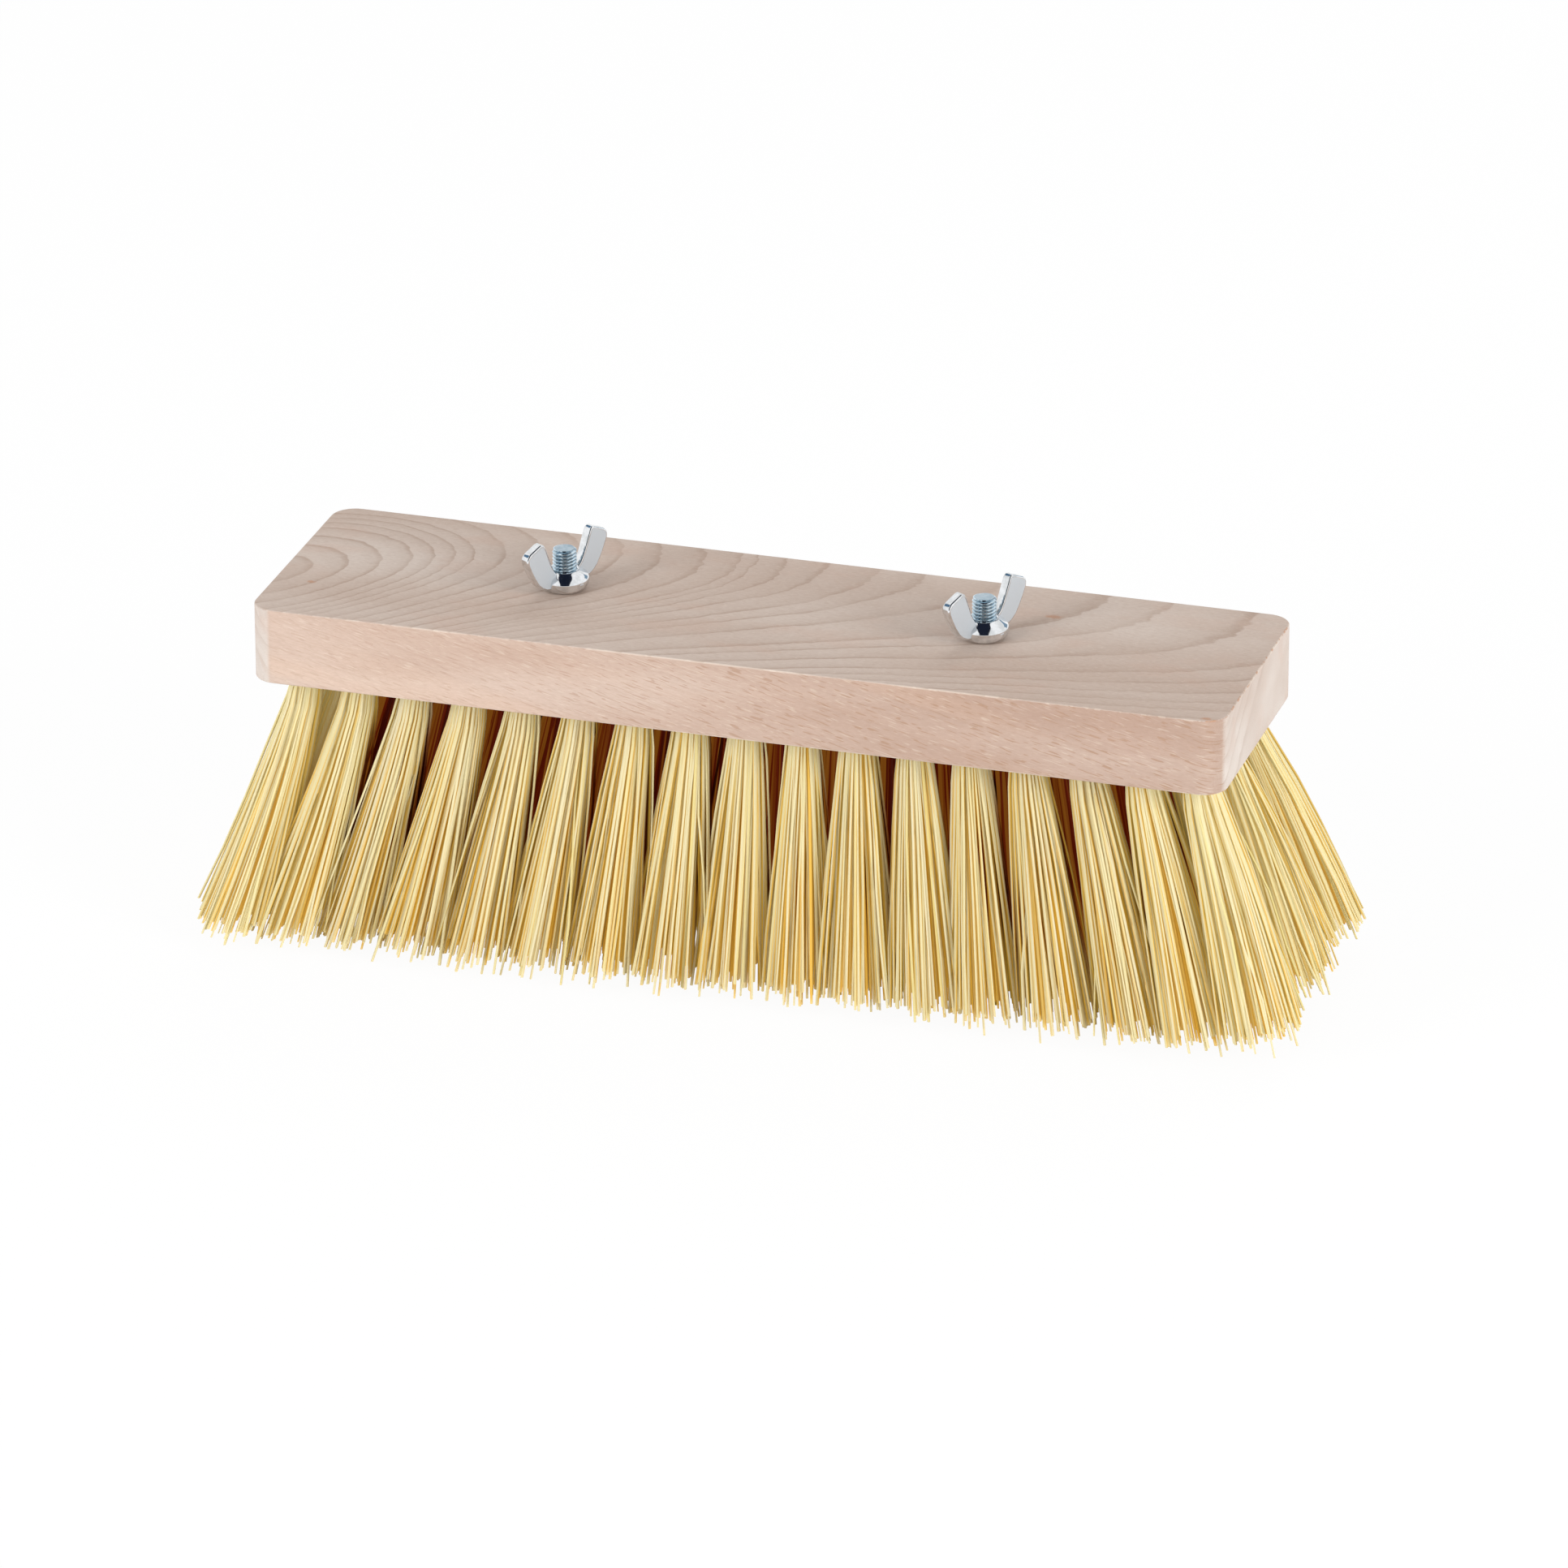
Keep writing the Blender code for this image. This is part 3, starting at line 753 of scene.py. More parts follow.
def turned(name: str, outline: Sequence[Pair], middle: Point, sides: int) -> Piece:
    """Raises a round piece ring by ring from a disc, as on a lathe.

    Args:
        name: the piece's name.
        outline: radius and height of each ring, upwards or round a wall.
        middle: where radius and height are counted from.
        sides: how many sides a ring has.

    Returns:
        The closed piece.
    """
    radius, height = outline[0]
    at = Vector(middle)
    piece = disc(name, sides, radius, at + Vector((0.0, 0.0, height)))
    with editing(piece, "FACE"):
        for next_radius, next_height in outline[1:]:
            push(0.0, 0.0, next_height - height)
            share = next_radius / radius
            centre = at + Vector((0.0, 0.0, next_height))
            bpy.ops.transform.resize(value=(share, share, 1.0), center_override=centre)
            radius, height = next_radius, next_height
        face_outwards()
    return piece


def smooth(piece: Piece, angle_deg: float, weighted: bool = True) -> None:
    """Shades a piece smooth.

    Args:
        piece: the piece to shade.
        angle_deg: the angle at which an edge stays sharp.
        weighted: whether broad faces keep their own normals.
    """
    activate(piece)
    bpy.ops.object.shade_smooth_by_angle(angle=math.radians(angle_deg))
    if weighted:
        apply_modifier(piece, "WEIGHTED_NORMAL", keep_sharp=True)


def hand_over(piece: Piece, body: str, finish: Material,
              nodes: Sequence[str]) -> None:
    """Gives a piece its finish and ties it to the frame.

    Args:
        piece: the finished piece.
        body: the CAD body it rides on.
        finish: its material.
        nodes: the CAD nodes that it stands for.
    """
    piece.data.materials.clear()
    piece.data.materials.append(finish)
    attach(piece, body)
    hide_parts(*nodes)
    log.info("%s: %d faces on %s", piece.name, len(piece.data.polygons), body)


# Tufts

@dataclass(frozen=True)
class TuftPattern:
    """Where the tufts stand in the block and how they lean, as the CAD has them."""

    per_row: int = 17
    rows: int = 5
    end_x: float = 0.1275
    end_pitches: float = 0.6
    outer_y: float = 0.0215
    underside: float = 0.072
    hole_radius: float = 0.004
    hole_depth: float = 0.014
    end_lean: float = 0.022
    side_lean: float = 0.0165
    tips_shift: float = 0.004
    bolt_spacing: float = 0.1216
    bolts_shift: float = 0.0008
    bolt_room: float = 0.00675

    def bolt_x(self, side: Side) -> float:
        """One bolt's place along the block."""
        return self.bolts_shift + side.value * self.bolt_spacing / 2

    @property
    def pitch(self) -> float:
        """From one tuft to the next in its row."""
        return 2 * self.end_x / (self.per_row - 1)

    def row(self, number: int) -> list[Pair]:
        """The roots of one row.

        Args:
            number: 0 is the front row.

        Returns:
            The (x, y) of each tuft that the bolt heads leave room for.
        """
        y = self.outer_y * (2 * number / (self.rows - 1) - 1)
        shifted = number % 2
        xs = [-self.end_x + (i + shifted / 2) * self.pitch for i in range(self.per_row - shifted)]
        room = self.hole_radius + self.bolt_room
        return [(x, y) for x in xs
                if min(math.hypot(x - self.bolt_x(side), y) for side in Side) > room]

    def lean(self, root: Pair) -> Pair:
        """How far a tuft's middle has moved at its tip."""
        out = root[0] / self.end_x
        return (self.end_lean * out + self.tips_shift * out * out,
                self.side_lean * root[1] / self.outer_y)

    def from_end(self, root: Pair) -> float:
        """How many pitches a tuft stands short of the longest rows' last one."""
        return (self.end_x - abs(root[0])) / self.pitch

    def groups(self) -> list[tuple[str, list[Pair]]]:
        """Each CAD node of tufts.

        Returns:
            The nodes' names, with the roots that each one holds.
        """
        found = []
        for number in range(self.rows):
            roots = self.row(number)
            if number in (0, self.rows - 1):
                side = "front" if number == 0 else "back"
                found += [(f"tuft_{side}_{i:02d}", [root]) for i, root in enumerate(roots, 1)]
                continue
            parts: dict[str, list[Pair]] = {}
            gap = number * 2 == self.rows - 1
            for root in roots:
                beyond = gap and abs(root[0]) > self.bolt_spacing / 2
                word = ("_left" if root[0] < 0 else "_right") if beyond else ""
                parts.setdefault(f"tuft_row_{number + 1}{word}", []).append(root)
            found += list(parts.items())
        return found


def spun(x: Any, y: Any, angle: Array) -> Array:
    """Points turned about the upright axis by some angles."""
    return np.stack([x * np.cos(angle) - y * np.sin(angle),
                     x * np.sin(angle) + y * np.cos(angle)], axis=-1)


@dataclass
class Bristles:
    """All tufts of fibre, each fibre a slim tapered stalk of its own.

    A spread is the standard deviation of a random value, and a pair is the range that one is
    drawn from.
    """

    finish: FibreFinish = FibreFinish()
    pattern: TuftPattern = TuftPattern()
    seed: int = 71
    per_tuft: int = 138
    sides: int = 5
    joints: int = 5
    thickness: float = 0.00084
    thickness_spread: float = 0.17
    taper: float = 0.12
    flatness: Pair = (0.7, 1.0)
    shell: float = 0.40
    root_radius: float = 0.0037
    root_spread: float = 0.00014
    tucked: float = 0.0045
    tip_radius: float = 0.0104
    tip_sizes: Pair = (0.93, 1.07)
    tip_spread: float = 0.0014
    tip_limit: float = 1.3
    end_crowd: float = 1.35
    end_width: float = 1.2
    end_pull: float = 0.7
    lean_spread: float = 0.0005
    sway_spread: float = 0.0004
    stray_share: float = 0.1
    stray_spread: float = 0.0028
    stray_short: Pair = (0.0, 0.002)
    stray_swing: float = 3.0
    cut_level: float = 0.0004
    cut_spread: float = 0.0015
    cut_limits: Pair = (-0.0042, 0.006)
    cut_drop: float = 0.0007
    cut_tilt: float = 0.0118
    arc_from: float = 0.138
    arc_rise: float = 0.18
    opens_right: float = 0.15
    opens_early: Pair = (0.62, 1.0)
    waves: Pair = (0.5, 1.4)
    swing_spread: float = 0.0003
    tuft_shading: float = 0.72
    tone_middle: float = 0.74
    tone_spread: float = 0.10
    # Painted shade: fibres deeper inside the tuft are darker.
    painted_inner_shade: float = -0.7
    odd_share: float = 0.04
    odd_tone: float = -0.25
    stray_outward: float = 0.7
    lit_middle: float = 0.42
    lit_side: float = -0.9
    lit_spread: float = 0.2
    # How many pitches in from the ends the painted light on the end fans reaches.
    airy_pitches: float = 2.0
    # Where the painted shade under the block starts and is full, from the ends and the sides, and how
    # far down it fades.
    core_end_mm: Pair = (15.0, 24.0)
    core_side_mm: Pair = (6.0, 12.6)
    core_fades: float = 0.86
    core_power: float = 0.8
    front_sway_mm: tuple[float, ...] = (
        -0.2, -0.1, -0.4, -0.2, 0.0, -0.7, 0.4, 0.7, 0.0, 0.2, 0.0, -0.3, -1.6, 0.5, 1.6, 0.4, -0.2)

    def stalk(self) -> tuple[Array, Array]:
        """Models one fibre of unit length and radius by extruding a small polygon downwards.

        Returns:
            Its corners, and its faces as triangles.
        """
        piece = disc("stalk", self.sides)
        with editing(piece, "FACE"):
            for _ in range(self.joints):
                push(0.0, 0.0, -1.0 / self.joints)
            face_outwards()
            bpy.ops.mesh.quads_convert_to_tris()
        mesh = piece.data
        corners = np.array([vert.co for vert in mesh.vertices], dtype=float)
        faces = np.array([tuple(face.vertices) for face in mesh.polygons])
        bpy.data.objects.remove(piece, do_unlink=True)
        return corners, faces

    def tuft(self, root: Pair, sway: float, stalk: Array,
             rng: np.random.Generator) -> dict[str, Array]:
        """Places every fibre of one tuft.

        Args:
            root: the tuft's place in the block.
            sway: how far the tuft's tip leans aside of its own accord.
            stalk: the unit fibre's corners.
            rng: the tuft's own random numbers.

        Returns:
            For each fibre and corner its place, "co", and what marks adds.
        """
        at_end = self.pattern.from_end(root) < self.pattern.end_pitches
        count = round(self.per_tuft * (self.end_crowd if at_end else 1.0))
        turn = np.arange(count) * GOLDEN_ANGLE + rng.uniform(0, math.tau)
        reach = ((np.arange(count) + 0.5) / count) ** self.shell
        spokes = spun(reach, 0.0, turn)
        near = spokes * self.root_radius + rng.normal(0, self.root_spread, (count, 2))
        flare = self.tip_radius * rng.uniform(*self.tip_sizes)
        across = np.array([1.0, self.end_width if at_end else 1.0])
        far = spokes * flare * across + rng.normal(0, self.tip_spread, (count, 2))
        stray = (rng.random(count) < self.stray_share)[:, None]
        far += stray * rng.normal(0, self.stray_spread, (count, 2))
        out = np.linalg.norm(far, axis=1, keepdims=True)
        far *= np.minimum(1.0, self.tip_limit * flare / np.maximum(out, TINY))
        lean = np.array(self.pattern.lean(root)) + np.array([sway, rng.normal(0, self.lean_spread)])
        inset = self.pattern.from_end(root) * self.pattern.pitch
        lean[0] += at_end * math.copysign(self.end_pull, root[0]) * inset

        height = self.heights(root[0], root[0] + lean[0] + far[:, :1], stray, stalk, rng)
        below = (self.pattern.underside - height) / self.pattern.underside
        opened = np.clip(below, 0, None)
        skew = self.opens_right * root[0] * abs(root[0]) / self.pattern.end_x ** 2
        spread = (opened ** (rng.uniform(*self.opens_early, (count, 1)) - skew))[..., None]
        path = near[:, None, :] * (1 - spread) + far[:, None, :] * spread
        path = path + np.array(root) + lean * (opened ** (1 - skew))[..., None]
        below = np.clip(below, 0, 1)
        waves = rng.uniform(*self.waves, count)[:, None]
        phase = rng.uniform(0, math.tau, (count, 1))
        swing = rng.normal(0, self.swing_spread, (count, 1)) * (1 + self.stray_swing * stray)
        bow = swing * np.sin(phase - math.tau * waves * stalk[:, 2]) * below ** 0.5
        path = path + spun(bow, 0.0, rng.uniform(0, math.tau, (count, 1)))

        width = rng.lognormal(0, self.thickness_spread, (count, 1))
        width = self.thickness / 2 * width * (1 + self.taper * stalk[:, 2])
        flat = rng.uniform(*self.flatness, (count, 1))
        spin = rng.uniform(0, math.tau, (count, 1))
        path = path + spun(stalk[:, 0] * width, stalk[:, 1] * width * flat, spin)
        corners = np.concatenate([path, height[..., None]], axis=-1)
        own = spun(stalk[:, 0], stalk[:, 1], spin)
        return {"co": corners, **self.marks(root, spokes, stray, own, corners, below, rng)}

    def heights(self, root_x: float, tip_x: Array, stray: Array, stalk: Array,
                rng: np.random.Generator) -> Array:
        """Cuts a tuft's fibres to length: nearly level, and rising in an arc at the ends.

        Args:
            root_x: the tuft's place along the block.
            tip_x: each fibre's tip along the block.
            stray: whether each fibre is a stray one.
            stalk: the unit fibre's corners.
            rng: the tuft's own random numbers.

        Returns:
            Each fibre's corners' heights.
        """
        count = len(stray)
        tips = rng.normal(self.cut_level, self.cut_spread, count)[:, None]
        shorter = rng.uniform(*self.stray_short, count)[:, None]
        tips = np.clip(tips - stray * shorter, *self.cut_limits)
        beyond = np.clip(abs(tip_x) - self.arc_from, 0, None)
        tips += self.cut_tilt * root_x - self.cut_drop + self.arc_rise * beyond
        top = self.pattern.underside + self.tucked
        return top - (tips - top) * stalk[:, 2]

    def marks(self, root: Pair, spokes: Array, stray: Array, own: Array,
              corners: Array, below: Array,
              rng: np.random.Generator) -> dict[str, Array]:
        """Works out how a tuft's fibres take the light.

        Args:
            root: the tuft's place in the block.
            spokes: where each fibre stands in the tuft, which has a radius of 1.
            stray: whether each fibre is a stray one.
            own: which way each corner faces.
            corners: the fibres' corners.
            below: the share of the way down.
            rng: the tuft's own random numbers.

        Returns:
            For each corner "normal"; "along", the share of the way down; "tone", its fibre's own
            colour, darkened by painted shade deep inside the tuft; "core", how deep it is in the
            brush's dark core, where painted shade falls; "inward", how far it faces its tuft's
            inside, for painted shade and painted light; "lit", how well its side of the tuft is lit,
            for the painted glow; and "airy", how near its tuft is to the brush's ends, for the
            painted light on the end fans.
        """
        count = len(spokes)
        reach = np.linalg.norm(spokes, axis=1, keepdims=True)
        share = (self.tuft_shading * (1 - stray))[..., None]
        facing = own * (1 - share * reach[..., None]) + share * spokes[:, None, :]
        odd = rng.random(count)[:, None] < self.odd_share
        tone_and_shade = rng.normal(self.tone_middle, self.tone_spread, count)[:, None]
        # fibres deeper inside the tuft get painted shade
        tone_and_shade = tone_and_shade + self.painted_inner_shade * (1 - reach) + self.odd_tone * odd
        # how far each corner faces into its tuft; painted shade and painted light follow it
        inward = 1 - reach * (0.5 + 0.5 * np.einsum("fci,fi->fc", own, spokes))
        # how well the tuft's side faces the key lamp, kept for the painted glow
        lit = rng.normal(0, self.lit_spread, (count, 1))
        lit = self.lit_middle + self.lit_side * spokes[:, :1] + lit
        level = np.ones_like(below)
        return {
            "normal": np.concatenate([facing, 0.0 * facing[..., :1]], axis=-1),
            "along": below,
            "tone_and_shade": np.clip(tone_and_shade, 0, 1) * level,
            # depth in the brush's core, where painted shade falls under the block
            "core": self.core_depth(corners, below),
            "inward": inward * (1 - self.stray_outward * stray),
            "lit": np.clip(lit, 0, 1) * level,
            "painted_end_light": max(0.0, 1 - self.pattern.from_end(root) / self.airy_pitches) * level}

    def core_depth(self, corners: Array, below: Array) -> Array:
        """Says how deep inside the brush each corner is, near the block, for the painted shade there.

        Args:
            corners: the fibres' corners.
            below: the share of the way down.

        Returns:
            0 at the brush's outside and its tips, up to 1 at its heart under the block.
        """
        pattern = self.pattern
        flare = self.tip_radius - pattern.hole_radius
        share = np.ones_like(below)
        for axis, edge, lean, (near, far) in (
                (0, pattern.end_x, pattern.end_lean, self.core_end_mm),
                (1, pattern.outer_y, pattern.side_lean, self.core_side_mm)):
            half = edge + pattern.hole_radius + (lean + flare) * below
            inside = (half - abs(corners[..., axis])) / MM
            share = np.minimum(share, np.clip((inside - near) / (far - near), 0, 1))
        fade = np.clip(1 - below / self.core_fades, 0, 1) ** self.core_power
        return share * share * (3 - 2 * share) * fade

    def build_group(self, node: str, roots: Sequence[Pair], number: int, stalk: Array,
                    faces: Array) -> Piece:
        """Makes one mesh of the tufts that a CAD node holds.

        Args:
            node: the CAD node's name.
            roots: the tufts' places.
            number: the group's number, which seeds its random numbers.
            stalk: the unit fibre's corners.
            faces: its triangles.

        Returns:
            The finished piece.
        """
        rng = np.random.default_rng(self.seed + number)
        parts = []
        for root in roots:
            sway = rng.normal(0, self.sway_spread)
            if node.startswith("tuft_front"):
                sway += self.front_sway_mm[int(node[-2:]) - 1] * MM
            parts.append(self.tuft(root, sway, stalk, rng))
        values = {key: np.concatenate([part[key] for part in parts]) for key in parts[0]}
        count, size = values["along"].shape
        everywhere = (faces[None] + size * np.arange(count)[:, None, None]).reshape(-1, 3)
        mesh = bpy.data.meshes.new(node.replace("tuft", "fibres"))
        mesh.vertices.add(count * size)
        mesh.vertices.foreach_set("co", values.pop("co").reshape(-1))
        mesh.loops.add(everywhere.size)
        mesh.loops.foreach_set("vertex_index", everywhere.reshape(-1))
        mesh.polygons.add(len(everywhere))
        mesh.polygons.foreach_set("loop_start", np.arange(len(everywhere)) * 3)
        mesh.update(calc_edges=True)
        mesh.shade_smooth()
        normals = values.pop("normal").reshape(-1, 3)
        for name, marks in values.items():
            stored = mesh.attributes.new(name, "FLOAT", "POINT")
            stored.data.foreach_set("value", marks.reshape(-1).astype(np.float32))
        normals /= np.maximum(np.linalg.norm(normals, axis=1, keepdims=True), TINY)
        mesh.normals_split_custom_set_from_vertices(normals.tolist())
        return link(mesh.name, mesh)

    def dress(self) -> None:
        """Builds and hands over every group of tufts."""
        material = self.finish.material()
        stalk, faces = self.stalk()
        for number, (node, roots) in enumerate(self.pattern.groups()):
            piece = self.build_group(node, roots, number, stalk, faces)
            hand_over(piece, "brush", material, [node])


# Block

@dataclass
class Block:
    """The beech block with its drilled underside.

    The three grain pairs say at which part of a normal along X end grain starts to show, and
    over how much more it is full.
    """

    finish: BeechFinish = BeechFinish()
    pattern: TuftPattern = TuftPattern()
    length: float = 0.280
    width: float = 0.078
    thickness: float = 0.022
    corner_radius: float = 0.007
    corner_steps: int = 10
    arris: float = 0.0004
    arris_steps: int = 3
    hole_sides: int = 20
    hole_flare: float = 1.06
    drill_point: float = 0.0012
    bore_sides: int = 40
    bore_radius: float = 0.0037
    bore_flare: float = 0.0028
    overshoot: float = 0.002
    neck_width: float = 0.0065
    neck_depth: float = 0.0043
    recess_radius: float = 0.0063
    recess_depth: float = 0.0041
    sharp_deg: float = 35.0
    front_right_grain: Pair = (0.86, 0.1)
    back_right_grain: Pair = (0.4, 0.4)
    left_grain: Pair = (0.1, 0.15)
    upright_below: float = 0.7
    arris_slopes: Pair = (0.1, 0.995)

    def build(self) -> Piece:
        """Models the block.

        Returns:
            The finished mesh.
        """
        middle = self.pattern.underside + self.thickness / 2
        half = self.thickness / 2 - NEAR
        block = box("beech_block", (0.0, 0.0, middle), (self.length, self.width, self.thickness))
        with editing(block, "EDGE"):
            bevel(block, lambda edge: abs(edge.verts[0].co.z - edge.verts[1].co.z) > MM,
                  self.corner_radius, self.corner_steps)
            bevel(block, lambda edge: all(abs(vert.co.z - middle) > half for vert in edge.verts),
                  self.arris, self.arris_steps)
        cut(block, self.hole_tool())
        for side in Side:
            for tool in self.bolt_tools(side):
                cut(block, tool)
        self.mark_cuts(block)
        smooth(block, self.sharp_deg)
        return block

    def hole_tool(self) -> Piece:
        """Models one drill for a tuft hole and copies it to every tuft.

        Returns:
            All the drills as one object.
        """
        radius, depth = self.pattern.hole_radius, self.pattern.hole_depth
        outline = ((radius * self.hole_flare, -self.overshoot), (radius, self.arris),
                   (radius, depth - self.drill_point), (self.drill_point / 2, depth))
        drill = turned("drill", outline, NO_SHIFT, self.hole_sides)
        drills = []
        for root in (root for row in range(self.pattern.rows) for root in self.pattern.row(row)):
            slope = Matrix.Identity(4)
            for axis, lean in enumerate(self.pattern.lean(root)):
                slope[axis][2] = -lean / self.pattern.underside
            copy = link("drill", drill.data.copy())
            copy.data.transform(Matrix.Translation((*root, self.pattern.underside)) @ slope)
            drills.append(copy)
        bpy.data.objects.remove(drill, do_unlink=True)
        activate(drills[0])
        for copy in drills[1:]:
            copy.select_set(True)
        bpy.ops.object.join()
        return drills[0]

    def bolt_tools(self, side: Side) -> tuple[Piece, Piece]:
        """Models what makes room for one bolt.

        Args:
            side: which bolt.

        Returns:
            A drill for its bore and head, and the square that its neck has pressed in.
        """
        outline = (
            (self.recess_radius, -self.overshoot), (self.recess_radius, self.recess_depth),
            (self.bore_radius, self.recess_depth), (self.bore_radius, self.thickness - self.arris),
            (self.bore_radius + self.bore_flare, self.thickness + self.overshoot))
        x, base = self.pattern.bolt_x(side), self.pattern.underside
        depth = self.neck_depth + MM
        middle = (x, 0.0, base + self.recess_depth - MM + depth / 2)
        return (turned("bolt_drill", outline, (x, 0.0, base), self.bore_sides),
                box("neck_punch", middle, (self.neck_width, self.neck_width, depth)))

    def mark_cuts(self, block: Piece) -> None:
        """Stores how each face lies to the grain: side, end, and rounded or broken edge.

        Args:
            block: the block's mesh.
        """
        stored = block.data.attributes.new("cut", "FLOAT_COLOR", "FACE")
        lowest, highest = self.arris_slopes
        for face, value in zip(block.data.polygons, stored.data):
            x, y, z = face.normal
            upright = float(abs(z) < self.upright_below)
            right = self.front_right_grain if y < 0 else self.back_right_grain
            turns = [(out - starts) / over
                     for out, (starts, over) in ((x, right), (-x, self.left_grain))]
            end = upright * min(max(*turns, 0.0), 1.0)
            outside = face.center.z > self.pattern.underside + MM / 10
            broken = float(lowest < abs(z) < highest and outside)
            value.color = (upright - end, end, broken, 1.0)

    def dress(self) -> None:
        """Builds the block and hands it over."""
        hand_over(self.build(), "brush", self.finish.material(), ["brush_block"])


# Bolts and nuts

@dataclass
class CarriageBolt:
    """One cup-head bolt with a square neck and a rolled thread."""

    side: Side
    finish: Material
    x: float
    bearing_z: float = 0.0758
    head_radius: float = 0.006
    head_height: float = 0.0038
    head_steps_deg: tuple[int, ...] = (6, 18, 30, 42, 54, 66, 78, 90)
    neck_width: float = 0.0062
    neck_length: float = 0.004
    end_z: float = 0.1063
    radius: float = 0.0034
    thread_start: float = 0.0905
    thread_depth: float = 0.0006
    thread_pitch: float = 0.001
    thread_slope: float = 1.35
    thread_root: float = 0.12
    runout_turns: float = 1.5
    point_turns: float = 0.7
    point_taper: float = 0.0006
    end_darkening: float = 0.85
    sides: int = 48
    rings_a_turn: int = 12
    sharp_deg: float = 42.0

    def build(self) -> Piece:
        """Models the bolt.

        Returns:
            The finished mesh.
        """
        dome = [(self.head_radius * math.sin(angle), -self.head_height * math.cos(angle))
                for angle in map(math.radians, self.head_steps_deg)]
        start_z, reach = self.thread_start - self.bearing_z, self.end_z - self.bearing_z
        rings = round((reach - start_z) / self.thread_pitch * self.rings_a_turn)
        shank = [(self.radius, 0.0)] + [
            (self.radius, start_z + (reach - start_z) * i / rings) for i in range(rings + 1)]
        bolt = turned(f"stud_{self.side.word}", dome + shank, (self.x, 0.0, self.bearing_z), self.sides)
        self.roll_thread(bolt)
        neck = box("neck", (self.x, 0.0, self.bearing_z + (self.neck_length - MM) / 2),
                   (self.neck_width, self.neck_width, self.neck_length + MM))
        cut(bolt, neck, "UNION")
        smooth(bolt, self.sharp_deg, weighted=False)
        return bolt

    def roll_thread(self, bolt: Piece) -> None:
        """Presses the helix into the shank's rings, and stores how far each corner is sunk, for painted
        shade in the thread's valleys.

        Args:
            bolt: the turned blank.
        """
        painted_groove_shade = bolt.data.attributes.new("painted_groove_shade", "FLOAT", "POINT").data
        for vert in bolt.data.vertices:
            x, y = vert.co.x - self.x, vert.co.y
            now = math.hypot(x, y)
            if vert.co.z < self.thread_start - NEAR or now < self.radius / 2:
                continue
            place = (vert.co.z - self.thread_start) / self.thread_pitch
            left = (self.end_z - vert.co.z) / self.thread_pitch
            wave = abs(2.0 * ((place - math.atan2(y, x) / math.tau) % 1.0) - 1.0)
            crest = min(max(self.thread_slope * wave - self.thread_root, 0.0), 1.0)
            sunk = min(max(place / self.runout_turns, 0.0), 1.0) * (1.0 - crest)
            taper = max(0.0, self.point_turns - left) * self.point_taper
            wanted = self.radius - self.thread_depth * sunk - taper
            # how far the corner is sunk, for painted shade in the valleys; the cut end is darkened too
            painted_groove_shade[vert.index].value = self.end_darkening if left < 0.01 else sunk
            vert.co.x = self.x + x * wanted / now
            vert.co.y = y * wanted / now

    def dress(self) -> None:
        """Builds the bolt and hands it over."""
        word = self.side.word
        hand_over(self.build(), f"bolt_{word}", self.finish, [f"carriage_bolt_{word}"])


